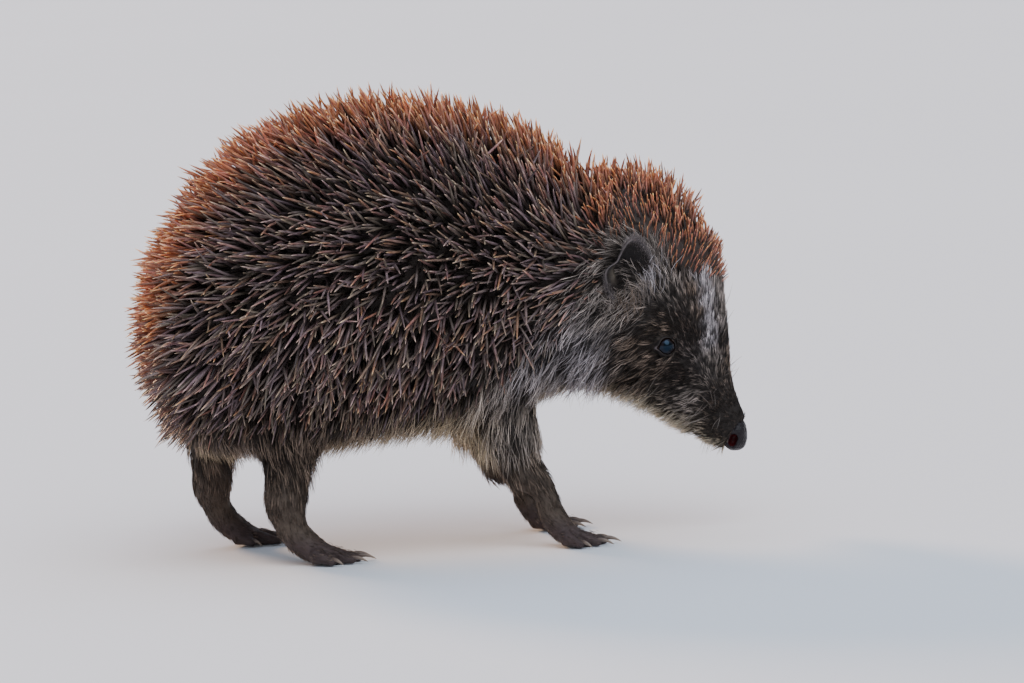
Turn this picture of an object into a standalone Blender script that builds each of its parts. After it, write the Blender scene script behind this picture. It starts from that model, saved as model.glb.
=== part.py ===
"""A walking hedgehog with an arched back and a lowered snout, divided into its body parts.

The solids reach out to the tips of the spines and hair. The animal faces -Y, its right side is
towards -X, and its soles stand on z = 0. The origin is on the floor, under the middle of the body.
"""

import math
from collections import namedtuple

import bmesh
import bpy
import numpy as np
from mathutils import Matrix, Vector

OBJECT_NAME = "hedgehog"
MM = 0.001

# Driving dimensions, in millimetres.
BODY_LENGTH = 194.4
GAP = 0.3
EYE_RADIUS = 3.3
NOSE_SIZE = (4.4, 4.0, 5.4)
EAR_SIZE = (7.0, 9.4, 5.0)
EAR_THICKNESS = 1.4
RIM_TOLERANCE = 0.01
TOE_RADIUS = 1.75
CLAW_RADIUS = 0.8
CLAW_TIP_RADIUS = 0.25
CLAW_FLATNESS = 0.8
CLAW_ROOT = 1.3
CLAW_HEIGHT = 1.55
CLAW_ARCH = 0.7
CLAW_DROP = 1.05
FLOOR_BLOCK = (200.0, 300.0, 20.0)
STRIDE_HIND = 25.5
STRIDE_FORE = 8.0
FAR_GIRTH = 0.93

# How finely the lofts are divided.
BODY_SIDES = 32
BODY_STEPS = 2
LIMB_SIDES = 10
LIMB_STEPS = 2
TOE_SIDES = 6
CLAW_SIDES = 6
CLAW_STEPS = 3
EYE_FACETS = (12, 8)
NOSE_FACETS = (12, 8)
EAR_FACETS = (14, 8)
SMOOTH_ANGLE = math.radians(50)

# The body from rump to snout. A section is the flat ring between a highest and a lowest point,
# each given as (distance ahead of the rump, height), with the half width across it.
Section = namedtuple("Section", "name top bottom half_width")
BODY = (
    Section("rump end", (0.0, 77.5), (0.0, 68.5), 6.0),
    Section("rump", (3.2, 92.0), (2.2, 57.0), 25.0),
    Section("seat", (9.5, 105.5), (6.0, 47.0), 36.5),
    Section("croup", (18.5, 118.5), (12.5, 38.5), 44.5),
    Section("hip", (29.0, 129.5), (21.0, 32.5), 49.5),
    Section("loin", (43.0, 139.0), (36.0, 30.5), 53.0),
    Section("back", (58.0, 145.0), (55.0, 31.5), 54.0),
    Section("mid back", (75.0, 147.8), (72.0, 34.0), 53.5),
    Section("ribs", (92.0, 147.2), (88.0, 36.5), 51.5),
    Section("withers", (107.0, 144.0), (102.0, 36.5), 48.5),
    Section("shoulder", (121.0, 139.5), (113.0, 36.5), 45.0),
    Section("chest", (134.0, 133.5), (124.0, 43.0), 41.0),
    Section("throat", (144.0, 126.5), (133.0, 48.0), 38.0),
    Section("nape", (153.5, 119.5), (140.5, 49.5), 34.5),
    Section("ears", (165.0, 116.5), (146.0, 49.2), 29.0),
    Section("crown", (178.0, 112.0), (150.0, 47.8), 24.3),
    Section("forehead", (185.8, 102.0), (153.5, 46.0), 20.8),
    Section("brow", (188.6, 87.0), (157.0, 44.0), 17.5),
    Section("eye", (189.6, 73.0), (161.5, 41.6), 14.0),
    Section("cheek", (190.2, 59.0), (168.0, 37.0), 10.7),
    Section("muzzle", (190.4, 47.5), (176.0, 31.6), 8.1),
    Section("snout", (191.6, 39.5), (182.6, 27.2), 6.3),
    Section("lips", (192.4, 36.0), (186.0, 24.6), 5.3),
)
NECK_START = 11
HEAD_START = 13
# How much wider the lower half of a body section is than its upper half.
LOW_SPREAD = 0.13

# Limb paths from inside the body to the ball of the foot: distance ahead of the rump, distance
# out from the middle, height, then the half sizes along and across the animal.
Joint = namedtuple("Joint", "ahead out height half_along half_across")
HIND_LIMB = (
    Joint(47.5, 21.0, 42.0, 9.0, 8.0),
    Joint(47.6, 23.0, 27.0, 7.2, 6.6),
    Joint(47.2, 24.2, 17.5, 5.8, 5.4),
    Joint(49.8, 24.8, 10.5, 5.5, 5.2),
    Joint(54.0, 25.2, 5.6, 5.0, 5.4),
    Joint(59.0, 25.6, 2.9, 3.9, 6.2),
    Joint(64.5, 26.0, 1.9, 2.6, 6.0),
)
FORE_LIMB = (
    Joint(115.5, 16.5, 47.0, 10.0, 8.5),
    Joint(119.8, 17.8, 35.0, 7.8, 7.0),
    Joint(125.0, 18.8, 26.0, 5.7, 5.3),
    Joint(128.8, 19.6, 17.0, 4.7, 4.5),
    Joint(130.8, 20.0, 10.5, 4.7, 4.7),
    Joint(133.8, 20.3, 5.2, 4.4, 5.3),
    Joint(138.0, 20.6, 2.6, 3.5, 6.0),
    Joint(142.5, 20.8, 1.7, 2.4, 5.8),
)
HIND_ANKLE = 3
FORE_WRIST = 4

# Toes from the inner one to the outer one: how far back and how far out each is rooted from the
# middle toe, its heading towards the midline in degrees, its length, and its claw's beyond that.
Toe = namedtuple("Toe", "back out heading length claw")
HIND_TOES = (
    Toe(6.0, -4.6, 30.0, 4.4, 3.4),
    Toe(1.0, -2.9, 11.0, 6.9, 6.2),
    Toe(0.0, 0.0, 0.0, 7.6, 5.6),
    Toe(1.0, 2.9, -11.0, 6.9, 5.0),
    Toe(4.5, 4.8, -30.0, 5.0, 3.8),
)
FORE_TOES = (
    Toe(5.0, -4.4, 34.0, 4.0, 3.4),
    Toe(1.0, -2.8, 13.0, 6.0, 5.2),
    Toe(0.0, 0.0, 0.0, 6.8, 5.6),
    Toe(1.0, 2.8, -13.0, 6.0, 5.2),
    Toe(4.0, 4.6, -34.0, 4.6, 3.8),
)
HIND_TOE_LINE = 61.5
FORE_TOE_LINE = 139.5
# A toe's profile: share of its length, height of its middle, and thickness beside TOE_RADIUS.
TOE_PROFILE = ((0.0, 1.8, 1.0), (0.3, 2.1, 1.05), (0.65, 1.7, 1.0), (0.92, 1.4, 0.95), (1.0, 1.45, 0.8))
TOE_OVERLAP = 3.0

# Single places: distance ahead of the rump, distance out from the middle, height.
EYE_PLACE = (169.5, 15.3, 61.0)
EAR_PLACE = (158.2, 29.5, 87.0)
NOSE_PLACE = (190.4, 0.0, 30.0)
NOSE_PITCH = math.radians(8)
EAR_TURN = math.radians(26)
EAR_LEAN = math.radians(14)
TAIL_LINE = ((21.5, 40.0, 3.8), (21.3, 33.0, 3.4), (21.0, 27.0, 2.6), (20.6, 22.5, 1.4))

Finish = namedtuple("Finish", "color roughness")
FINISHES = {
    "spines": Finish((0.105, 0.075, 0.062, 1.0), 0.55),
    "fur": Finish((0.150, 0.115, 0.090, 1.0), 0.85),
    "leg": Finish((0.080, 0.055, 0.050, 1.0), 0.80),
    "ear": Finish((0.130, 0.095, 0.085, 1.0), 0.70),
    "nose": Finish((0.020, 0.014, 0.015, 1.0), 0.25),
    "eye": Finish((0.010, 0.007, 0.006, 1.0), 0.05),
    "claw": Finish((0.180, 0.130, 0.095, 1.0), 0.40),
}


def clear_scene():
    for existing in list(bpy.data.objects):
        bpy.data.objects.remove(existing, do_unlink=True)


def new_collection(name):
    collection = bpy.data.collections.new(name)
    bpy.context.scene.collection.children.link(collection)
    return collection


def place(ahead, out, height):
    """World position, in metres, of a point given in millimetres from the rump, middle and floor."""
    return Vector((out, BODY_LENGTH / 2 - ahead, height)) * MM


def make_finish(name):
    finish = FINISHES[name]
    material = bpy.data.materials.new(name)
    material.use_nodes = True
    shader = material.node_tree.nodes["Principled BSDF"]
    shader.inputs["Base Color"].default_value = finish.color
    shader.inputs["Roughness"].default_value = finish.roughness
    shader.inputs["Metallic"].default_value = 0.0
    material.diffuse_color = finish.color
    return material


def add_mesh_object(name, bm, collection, material=None):
    """Turn a bmesh into a smooth-shaded object whose origin is at the middle of its mesh."""
    bmesh.ops.recalc_face_normals(bm, faces=bm.faces)
    middle = sum((vertex.co for vertex in bm.verts), Vector()) / len(bm.verts)
    bmesh.ops.translate(bm, verts=bm.verts, vec=-middle)
    mesh = bpy.data.meshes.new(name)
    bm.to_mesh(mesh)
    bm.free()
    mesh.shade_smooth()
    mesh.set_sharp_from_angle(angle=SMOOTH_ANGLE)
    made = bpy.data.objects.new(name, mesh)
    made.location = middle
    collection.objects.link(made)
    if material:
        mesh.materials.append(material)
    return made


def add_part(name, bm, material):
    made = add_mesh_object(name, bm, parts, material)
    made.parent = root
    return made


def add_cutter(name, bm):
    cutter = add_mesh_object(name, bm, cutters)
    cutter.hide_render = True
    cutter.display_type = "WIRE"
    return cutter


def boolean(target, other, operation, pieces_overlap=False):
    modifier = target.modifiers.new(f"{operation.lower()} {other.name}", "BOOLEAN")
    modifier.operation = operation
    modifier.solver = "EXACT"
    modifier.use_self = pieces_overlap
    modifier.object = other


def smooth_rows(rows, steps):
    """Catmull-Rom curve through the rows of numbers, with the given number of steps between rows."""
    rows = np.array(rows, dtype=float)
    padded = np.vstack((2 * rows[0] - rows[1], rows, 2 * rows[-1] - rows[-2]))
    out = []
    for i in range(len(rows) - 1):
        before, start, end, after = padded[i:i + 4]
        for step in range(steps):
            t = step / steps
            bend = (2 * before - 5 * start + 4 * end - after) * t * t
            twist = (3 * start - before - 3 * end + after) * t ** 3
            out.append(start + 0.5 * ((end - before) * t + bend + twist))
    out.append(rows[-1])
    return out


def loft_into(bm, rings):
    """Skin a closed tube through rings of equal point counts, with a flat cap on each end."""
    loops = [[bm.verts.new(point) for point in ring] for ring in rings]
    count = len(loops[0])
    for near, far in zip(loops, loops[1:]):
        for j in range(count):
            k = (j + 1) % count
            bm.faces.new((near[j], near[k], far[k], far[j]))
    bm.faces.new(loops[0])
    bm.faces.new(reversed(loops[-1]))


def loft(rings):
    bm = bmesh.new()
    loft_into(bm, rings)
    return bm


def body_ring(row, grow=0.0):
    """One body ring: an egg-shaped loop, wider in its lower half, between its top and bottom."""
    top = place(row[0], 0.0, row[1])
    bottom = place(row[2], 0.0, row[3])
    rise = (top - bottom) / 2
    rise += rise.normalized() * grow * MM
    half_width = (row[4] + grow) * MM
    ring = []
    for j in range(BODY_SIDES):
        angle = 2 * math.pi * j / BODY_SIDES
        spread = 1 - LOW_SPREAD * math.sin(angle)
        side = Vector((half_width * math.cos(angle) * spread, 0, 0))
        ring.append((top + bottom) / 2 + rise * math.sin(angle) + side)
    return ring


def body_rings(first, last, grow=0.0, start_gap=0.0):
    """Rings of the body from one section to another, the first one moved on by a gap."""
    rows = smooth_rows([(*s.top, *s.bottom, s.half_width) for s in BODY], BODY_STEPS)
    rows = rows[first * BODY_STEPS:last * BODY_STEPS + 1]
    rings = [body_ring(row, grow) for row in rows]
    quarter = BODY_SIDES // 4
    width = rings[0][0] - rings[0][2 * quarter]
    rise = rings[0][quarter] - rings[0][3 * quarter]
    onward = width.cross(rise).normalized()
    rings[0] = [point + onward * start_gap * MM for point in rings[0]]
    return rings


def tube_ring(centre, heading, half_along, half_across, sides):
    """An elliptical ring square to its heading, whose across axis stays as level as it can."""
    up_axis = Vector((1, 0, 0)).cross(heading).normalized()
    level_axis = heading.cross(up_axis).normalized()
    ring = []
    for j in range(sides):
        angle = 2 * math.pi * j / sides
        along = up_axis * half_along * math.cos(angle)
        across = level_axis * half_across * math.sin(angle)
        ring.append(centre + (along + across) * MM)
    return ring


def tube_rings(centres, halves, sides):
    rings = []
    for i, (centre, (half_along, half_across)) in enumerate(zip(centres, halves)):
        ahead = centres[min(i + 1, len(centres) - 1)]
        behind = centres[max(i - 1, 0)]
        heading = (ahead - behind).normalized()
        rings.append(tube_ring(centre, heading, half_along, half_across, sides))
    return rings


def limb_rings(joints, side, setback, girth):
    rows = smooth_rows(joints, LIMB_STEPS)
    centres = [place(row[0] - setback, side * row[1], row[2]) for row in rows]
    halves = [(row[3] * girth, row[4] * girth) for row in rows]
    return tube_rings(centres, halves, LIMB_SIDES)


def split_rings(rings, at):
    """Part a tube's rings in two at one ring, leaving the gap between the two pieces."""
    centre = sum(rings[at], Vector()) / len(rings[at])
    next_centre = sum(rings[at + 1], Vector()) / len(rings[at + 1])
    step = (next_centre - centre).normalized() * GAP * MM
    lower = [[point + step for point in rings[at]]] + rings[at + 1:]
    return rings[:at + 1], lower


def toe_point(toe, toe_line, limb_out, side, reach, height):
    """A point the given reach along a toe, measured from its root."""
    heading = math.radians(toe.heading)
    ahead = toe_line - toe.back + reach * math.cos(heading)
    out = limb_out + toe.out - reach * math.sin(heading)
    return place(ahead, side * out, height)


def toe_rings(toe, toe_line, limb_out, side):
    """A toe that arches up from the foot and comes down on the flat of its tip."""
    rows = [(-TOE_OVERLAP, TOE_PROFILE[0][1], TOE_PROFILE[0][2])]
    rows += [(toe.length * share, height, size) for share, height, size in TOE_PROFILE[1:]]
    centres = [toe_point(toe, toe_line, limb_out, side, reach, height) for reach, height, _ in rows]
    halves = [(TOE_RADIUS * size, TOE_RADIUS * size) for _, _, size in rows]
    return tube_rings(centres, halves, TOE_SIDES)


def claw_rings(toe, toe_line, limb_out, side, grow=0.0):
    """A claw rooted inside the toe's tip, arching forward and down to just above the floor."""
    centres = []
    halves = []
    for i in range(CLAW_STEPS + 1):
        t = i / CLAW_STEPS
        reach = toe.length - CLAW_ROOT - grow + (toe.claw + CLAW_ROOT) * t
        height = CLAW_HEIGHT + CLAW_ARCH * math.sin(math.pi * t) - CLAW_DROP * t ** 2
        radius = CLAW_RADIUS + (CLAW_TIP_RADIUS - CLAW_RADIUS) * t + grow
        centres.append(toe_point(toe, toe_line, limb_out, side, reach, height))
        halves.append((radius, radius * CLAW_FLATNESS))
    return tube_rings(centres, halves, CLAW_SIDES)


def ellipsoid(centre, halves, facets, turn):
    bm = bmesh.new()
    bmesh.ops.create_uvsphere(bm, u_segments=facets[0], v_segments=facets[1], radius=MM)
    placing = Matrix.Translation(centre) @ turn @ Matrix.Diagonal((*halves, 1.0))
    bmesh.ops.transform(bm, matrix=placing, verts=bm.verts)
    return bm


def make_body():
    add_part("trunk", loft(body_rings(0, NECK_START)), finishes["spines"])
    neck_rings = body_rings(NECK_START, HEAD_START, start_gap=GAP)
    add_part("neck", loft(neck_rings), finishes["spines"])
    head_rings = body_rings(HEAD_START, len(BODY) - 1, start_gap=GAP)
    return add_part("head", loft(head_rings), finishes["fur"])


def make_eyes(head):
    for label, side in SIDES:
        centre = place(EYE_PLACE[0], side * EYE_PLACE[1], EYE_PLACE[2])
        upright = Matrix.Identity(4)
        eye = ellipsoid(centre, [EYE_RADIUS] * 3, EYE_FACETS, upright)
        add_part(f"eye_{label}", eye, finishes["eye"])
        socket = ellipsoid(centre, [EYE_RADIUS + GAP] * 3, EYE_FACETS, upright)
        boolean(head, add_cutter(f"socket_{label}", socket), "DIFFERENCE")


def make_nose(head):
    """The wet nose pad, let into the front of the snout."""
    centre = place(*NOSE_PLACE)
    pitch = Matrix.Rotation(NOSE_PITCH, 4, "X")
    add_part("nose", ellipsoid(centre, NOSE_SIZE, NOSE_FACETS, pitch), finishes["nose"])
    bed = ellipsoid(centre, [half + GAP for half in NOSE_SIZE], NOSE_FACETS, pitch)
    boolean(head, add_cutter("nose_bed", bed), "DIFFERENCE")


def ear_axes(side):
    """The ear cup's width, height and mouth axes: it opens outwards, turned a little forwards."""
    tall = Vector((side * math.sin(EAR_LEAN), 0, math.cos(EAR_LEAN)))
    mouth = Vector((side * math.cos(EAR_TURN), -math.sin(EAR_TURN), 0))
    mouth = (mouth - mouth.project(tall)).normalized()
    return Matrix((tall.cross(mouth), tall, mouth)).transposed().to_4x4()


def make_ears(head):
    """Cupped ears, each a bowl of even thickness seated in a hollow in the side of the head."""
    for label, side in SIDES:
        centre = place(EAR_PLACE[0], side * EAR_PLACE[1], EAR_PLACE[2])
        bowl = ellipsoid(centre, EAR_SIZE, EAR_FACETS, ear_axes(side))
        mouth = ear_axes(side) @ Vector((0, 0, 1))
        above_rim = [v for v in bowl.verts if (v.co - centre).dot(mouth) > RIM_TOLERANCE * MM]
        bmesh.ops.delete(bowl, geom=above_rim, context="VERTS")
        ear = add_part(f"ear_{label}", bowl, finishes["ear"])
        shell = ear.modifiers.new("thickness", "SOLIDIFY")
        shell.thickness = EAR_THICKNESS * MM
        shell.offset = 0.0
        room = [half + EAR_THICKNESS / 2 + GAP for half in EAR_SIZE]
        hollow = ellipsoid(centre, room, EAR_FACETS, ear_axes(side))
        boolean(head, add_cutter(f"ear_hollow_{label}", hollow), "DIFFERENCE")


def make_limb(kind, label, side, body_envelope):
    hind = kind == "hind"
    joints = HIND_LIMB if hind else FORE_LIMB
    toes = HIND_TOES if hind else FORE_TOES
    split_at = (HIND_ANKLE if hind else FORE_WRIST) * LIMB_STEPS
    far = side > 0
    setback = (STRIDE_HIND if hind else STRIDE_FORE) if far else 0.0
    rings = limb_rings(joints, side, setback, FAR_GIRTH if far else 1.0)
    leg_rings, paw_rings = split_rings(rings, split_at)

    leg = add_part(f"leg_{kind}_{label}", loft(leg_rings), finishes["leg"])
    boolean(leg, body_envelope, "DIFFERENCE")

    toe_line = (HIND_TOE_LINE if hind else FORE_TOE_LINE) - setback
    limb_out = joints[-1].out
    paw = add_part(f"paw_{kind}_{label}", loft(paw_rings), finishes["leg"])
    toe_bm = bmesh.new()
    socket_bm = bmesh.new()
    for number, toe in enumerate(toes, start=1):
        loft_into(toe_bm, toe_rings(toe, toe_line, limb_out, side))
        loft_into(socket_bm, claw_rings(toe, toe_line, limb_out, side, GAP))
        claw = loft(claw_rings(toe, toe_line, limb_out, side))
        add_part(f"claw_{kind}_{label}_{number}", claw, finishes["claw"])
    boolean(paw, add_cutter(f"toes_{kind}_{label}", toe_bm), "UNION", pieces_overlap=True)
    boolean(paw, add_cutter(f"sockets_{kind}_{label}", socket_bm), "DIFFERENCE")
    boolean(paw, floor_block, "DIFFERENCE")


def make_floor_block():
    """A block under z = 0 that flattens the soles."""
    bm = bmesh.new()
    bmesh.ops.create_cube(bm, size=MM)
    placing = Matrix.Translation((0, 0, -FLOOR_BLOCK[2] / 2 * MM)) @ Matrix.Diagonal((*FLOOR_BLOCK, 1.0))
    bmesh.ops.transform(bm, matrix=placing, verts=bm.verts)
    return add_cutter("floor_block", bm)


def make_tail(body_envelope):
    rows = smooth_rows(TAIL_LINE, LIMB_STEPS)
    centres = [place(row[0], 0.0, row[1]) for row in rows]
    halves = [(row[2], row[2]) for row in rows]
    tail = add_part("tail", loft(tube_rings(centres, halves, LIMB_SIDES)), finishes["leg"])
    boolean(tail, body_envelope, "DIFFERENCE")


SIDES = (("right", -1), ("left", 1))

clear_scene()
parts = new_collection(OBJECT_NAME)
cutters = new_collection("cutters")
root = bpy.data.objects.new(f"{OBJECT_NAME}_root", None)
parts.objects.link(root)
finishes = {name: make_finish(name) for name in FINISHES}

floor_block = make_floor_block()
body_cutter = add_cutter("body_envelope", loft(body_rings(0, HEAD_START, grow=GAP)))

head_part = make_body()
make_eyes(head_part)
make_nose(head_part)
make_ears(head_part)
make_tail(body_cutter)
for limb_label, limb_side in SIDES:
    for limb_kind in ("hind", "fore"):
        make_limb(limb_kind, limb_label, limb_side, body_cutter)
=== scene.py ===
import math

import bpy
import numpy as np
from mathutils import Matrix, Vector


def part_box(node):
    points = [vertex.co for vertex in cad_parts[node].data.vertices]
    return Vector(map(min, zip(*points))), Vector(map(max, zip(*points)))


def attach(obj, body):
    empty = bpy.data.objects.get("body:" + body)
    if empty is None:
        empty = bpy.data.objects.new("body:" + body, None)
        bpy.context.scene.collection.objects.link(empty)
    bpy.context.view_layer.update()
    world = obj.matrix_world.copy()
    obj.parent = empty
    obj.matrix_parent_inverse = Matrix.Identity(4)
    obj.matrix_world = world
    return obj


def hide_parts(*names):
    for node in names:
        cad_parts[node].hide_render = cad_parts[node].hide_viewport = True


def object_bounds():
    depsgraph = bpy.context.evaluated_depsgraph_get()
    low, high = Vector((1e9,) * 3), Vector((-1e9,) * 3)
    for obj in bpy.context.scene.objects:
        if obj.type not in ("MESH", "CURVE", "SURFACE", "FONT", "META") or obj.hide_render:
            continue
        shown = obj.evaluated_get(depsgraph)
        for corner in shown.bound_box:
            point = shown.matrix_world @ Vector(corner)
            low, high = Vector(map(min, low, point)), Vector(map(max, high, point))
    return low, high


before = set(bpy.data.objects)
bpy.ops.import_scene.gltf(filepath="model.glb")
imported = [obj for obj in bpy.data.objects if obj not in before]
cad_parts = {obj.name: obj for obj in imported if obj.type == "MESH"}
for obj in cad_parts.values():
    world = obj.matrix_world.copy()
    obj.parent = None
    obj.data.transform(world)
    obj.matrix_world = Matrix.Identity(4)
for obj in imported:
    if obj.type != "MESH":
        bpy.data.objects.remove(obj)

import openvdb as vdb
from mathutils import Matrix, Vector

# The looks of a hedgehog: one bare skin made from the CAD nodes' own shape, spines and hair rooted on it,
# and eyes, nose pad and claws of their own. Lengths are in millimetres until a mesh is made.
# "ahead" is counted from the rump towards the nose, "out" from the middle plane, "height" from the floor.
MM = 0.001
cad_low, cad_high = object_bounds()
LOW = np.array(cad_low) / MM
HIGH = np.array(cad_high) / MM
SIDES = (("right", -1.0), ("left", 1.0))
rng = np.random.default_rng(11)


# ---------------------------------------------------------------- small tools

def smooth_step(values, start, end):
    share = np.clip((values - start) / (end - start), 0.0, 1.0)
    return share * share * (3.0 - 2.0 * share)


def bell(values, middle, width):
    """1 at the middle, falling away on both sides over about a width."""
    return np.exp(-((values - middle) / width) ** 2)


def all_round(sides):
    """Evenly spaced angles of a whole turn."""
    return 2.0 * math.pi * np.arange(sides) / sides


def profile(pairs, places):
    """A value that changes along a line, given at a few places of it."""
    at_places, values = np.array(pairs, float).T
    return np.interp(places, at_places, values)


def unit(vectors):
    return vectors / np.maximum(np.linalg.norm(vectors, axis=-1, keepdims=True), 1e-9)


def at(ahead, out, height):
    """A place on the animal as a point in the frame."""
    return np.array([out, HIGH[1] - ahead, height], float)


def sideways(way, sign):
    """A direction given as (ahead, out, up), turned into the frame for one side."""
    return np.array([way[1] * sign, -way[0], way[2]])


def to_animal(places):
    """Points in the frame as (ahead, out, height), the two sides alike."""
    return np.column_stack([HIGH[1] - places[:, 1], np.abs(places[:, 0]), places[:, 2]])


def to_frame(ways, places):
    """Directions given as (ahead, out, up), turned into the frame for the side that each point is on."""
    return sideways(ways.T, np.where(places[:, 0] < 0, -1.0, 1.0)).T


def box_centre(node):
    low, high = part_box(node)
    return (np.array(low) + np.array(high)) / 2.0 / MM


def box_size(node):
    low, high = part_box(node)
    return (np.array(high) - np.array(low)) / MM


def rows_of(items, name, width=3, kind=np.float32):
    """One property of all items of a mesh, a row for each."""
    values = np.empty(len(items) * width, kind)
    items.foreach_get(name, values)
    return values.reshape(-1, width)


def node_mesh(names):
    """Points in millimetres and triangles of some CAD nodes, taken together."""
    points, triangles, start = [], [], 0
    for name in names:
        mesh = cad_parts[name].data
        mesh.calc_loop_triangles()
        points.append(rows_of(mesh.vertices, "co") / MM)
        triangles.append(rows_of(mesh.loop_triangles, "vertices", kind=np.int32) + start)
        start += len(mesh.vertices)
    return np.concatenate(points), np.concatenate(triangles)


def make_mesh(name, points, faces_by_size):
    """A mesh object from points in millimetres and arrays of equal-sized faces."""
    faces_by_size = [faces for faces in faces_by_size if len(faces)]
    mesh = bpy.data.meshes.new(name)
    mesh.vertices.add(len(points))
    mesh.vertices.foreach_set("co", (np.asarray(points, np.float32) * MM).ravel())
    corners = np.concatenate([faces.ravel() for faces in faces_by_size]).astype(np.int32)
    counts = np.concatenate([np.full(len(faces), faces.shape[1], np.int32) for faces in faces_by_size])
    starts = np.concatenate([[0], np.cumsum(counts)[:-1]]).astype(np.int32)
    mesh.loops.add(len(corners))
    mesh.loops.foreach_set("vertex_index", corners)
    mesh.polygons.add(len(counts))
    mesh.polygons.foreach_set("loop_start", starts)
    mesh.polygons.foreach_set("use_smooth", np.ones(len(counts), bool))
    mesh.update(calc_edges=True)
    thing = bpy.data.objects.new(name, mesh)
    bpy.context.scene.collection.objects.link(thing)
    return thing


def paint(mesh, name, values):
    """Keeps a number or a colour for each point of a mesh, which a material reads by name."""
    values = np.asarray(values, np.float32)
    if values.ndim == 1:
        held = mesh.attributes.new(name, "FLOAT", "POINT")
        held.data.foreach_set("value", values)
    else:
        held = mesh.attributes.new(name, "FLOAT_COLOR", "POINT")
        held.data.foreach_set("color", np.column_stack([values, np.ones(len(values), np.float32)]).ravel())


def finish_piece(piece, slot, *replaced):
    """Gives a piece its slot and the material of the same name, and the nodes that it replaces."""
    piece.data.materials.append(material(slot))
    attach(piece, "root")
    if replaced:
        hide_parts(*replaced)


def grid_faces(rows, columns, closed=True):
    """Quads of a sheet of points laid out row by row, closed round its columns or not."""
    row = np.arange(rows - 1)[:, None]
    column = np.arange(columns if closed else columns - 1)[None, :]
    after = (column + 1) % columns
    return np.stack([row * columns + column, row * columns + after,
                     (row + 1) * columns + after, (row + 1) * columns + column], -1).reshape(-1, 4)


GUIDE_SHARPNESS = 4.0
GUIDE_ROUND = 0.5  # added to each gap, so that a guide's own place is no peak
GUIDE_BATCH = 20000


def guided(guides, places):
    """Values at some places, blended from guides that each hold a place (ahead, out, height) and values."""
    held_at = np.array([guide[0] for guide in guides], float)
    held = np.array([np.hstack(guide[1:]) for guide in guides], float)
    animal = to_animal(places)
    blend = np.empty((len(places), held.shape[1]))
    for start in range(0, len(places), GUIDE_BATCH):
        batch = slice(start, start + GUIDE_BATCH)
        gap = np.linalg.norm(animal[batch, None] - held_at[None], axis=2) + GUIDE_ROUND
        weight = gap ** -GUIDE_SHARPNESS
        blend[batch] = (weight @ held) / weight.sum(1, keepdims=True)
    return blend


RIPPLE_WAVES = 7


def ripple(places, period, seed):
    """A smooth random vector at each place, which changes over about a period."""
    source = np.random.default_rng(seed)
    total = np.zeros((len(places), 3))
    for _ in range(RIPPLE_WAVES):
        wave = unit(source.normal(size=3)) * 2.0 * math.pi / (period * source.uniform(0.7, 1.5))
        total += np.sin(places @ wave + source.uniform(0, 2.0 * math.pi))[:, None] * source.normal(size=3)
    return total / 2.6


# ---------------------------------------------------------------- bodies as distances on a lattice

class Lattice:
    """Evenly spaced points in a box, on which signed distances are held: negative inside."""

    def __init__(self, low, high, step):
        self.low = np.array(low, float)
        self.step = step
        self.shape = tuple(int(n) for n in np.ceil((np.array(high) - self.low) / step) + 1)

    def axis(self, k):
        return (self.low[k] + self.step * np.arange(self.shape[k])).astype(np.float32)

    def axes(self):
        return self.axis(0)[:, None, None], self.axis(1)[None, :, None], self.axis(2)[None, None, :]

    def distance(self, points, triangles, band):
        """Distance to a closed mesh, true up to the band."""
        grid = vdb.FloatGrid.createLevelSetFromPolygons(
            np.ascontiguousarray(points - self.low, np.float32),
            triangles=np.ascontiguousarray(triangles, np.uint32),
            transform=vdb.createLinearTransform(self.step),
            halfWidth=band / self.step,
        )
        values = np.empty(self.shape, np.float32)
        grid.copyToArray(values)
        return values

    def surface(self, values, level=0.0, adaptivity=0.0):
        """Points, triangles and quads where the values cross a level."""
        reach = abs(level) + 3.0 * self.step
        grid = vdb.FloatGrid(reach)
        grid.transform = vdb.createLinearTransform(self.step)
        grid.copyFromArray(np.clip(values, -reach, reach))
        points, triangles, quads = grid.convertToPolygons(isovalue=level, adaptivity=adaptivity)
        return points + self.low, triangles, quads

    def closed_distance(self, names, band):
        """Distance to some nodes as one body, with the thin cuts between them filled."""
        fill = max(0.45, 0.6 * self.step)
        points, triangles = node_mesh(names)
        apart = self.distance(points, triangles, 3.0 * self.step + fill)
        points, triangles, quads = self.surface(apart, fill)
        triangles = np.concatenate([triangles, quads[:, [0, 1, 2]], quads[:, [0, 2, 3]]])
        return self.distance(points, triangles, band) + fill

    def within(self, values, low, high, change):
        """Changes the values inside a box; change is given the axes there and the values that they have."""
        first = np.maximum(np.floor((low - self.low) / self.step).astype(int), 0)
        last = np.ceil((high - self.low) / self.step).astype(int) + 1
        x, y, z = (slice(a, b) for a, b in zip(first, last))
        axes = self.axes()
        axes = axes[0][x], axes[1][:, y], axes[2][:, :, z]
        values[x, y, z] = change(axes, values[x, y, z])

    def take(self, other, values):
        """Another lattice's values, read at this one's points."""
        for k in range(3):
            place = np.clip((self.axis(k) - other.low[k]) / other.step, 0, other.shape[k] - 1.001)
            below = place.astype(int)
            share = (place - below).astype(np.float32).reshape([-1 if j == k else 1 for j in range(3)])
            values = np.take(values, below, k) * (1.0 - share) + np.take(values, below + 1, k) * share
        return values

    def read(self, values, places):
        """The values at some points, blended from the eight lattice points around each."""
        place = np.clip((places - self.low) / self.step, 0, np.array(self.shape) - 1.001)
        below = place.astype(int)
        share = place - below
        total = np.zeros(place.shape[:-1])
        for i in (0, 1):
            for j in (0, 1):
                for k in (0, 1):
                    weight = np.abs(1 - i - share[..., 0]) * np.abs(1 - j - share[..., 1])
                    weight = weight * np.abs(1 - k - share[..., 2])
                    total += weight * values[below[..., 0] + i, below[..., 1] + j, below[..., 2] + k]
        return total


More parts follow.
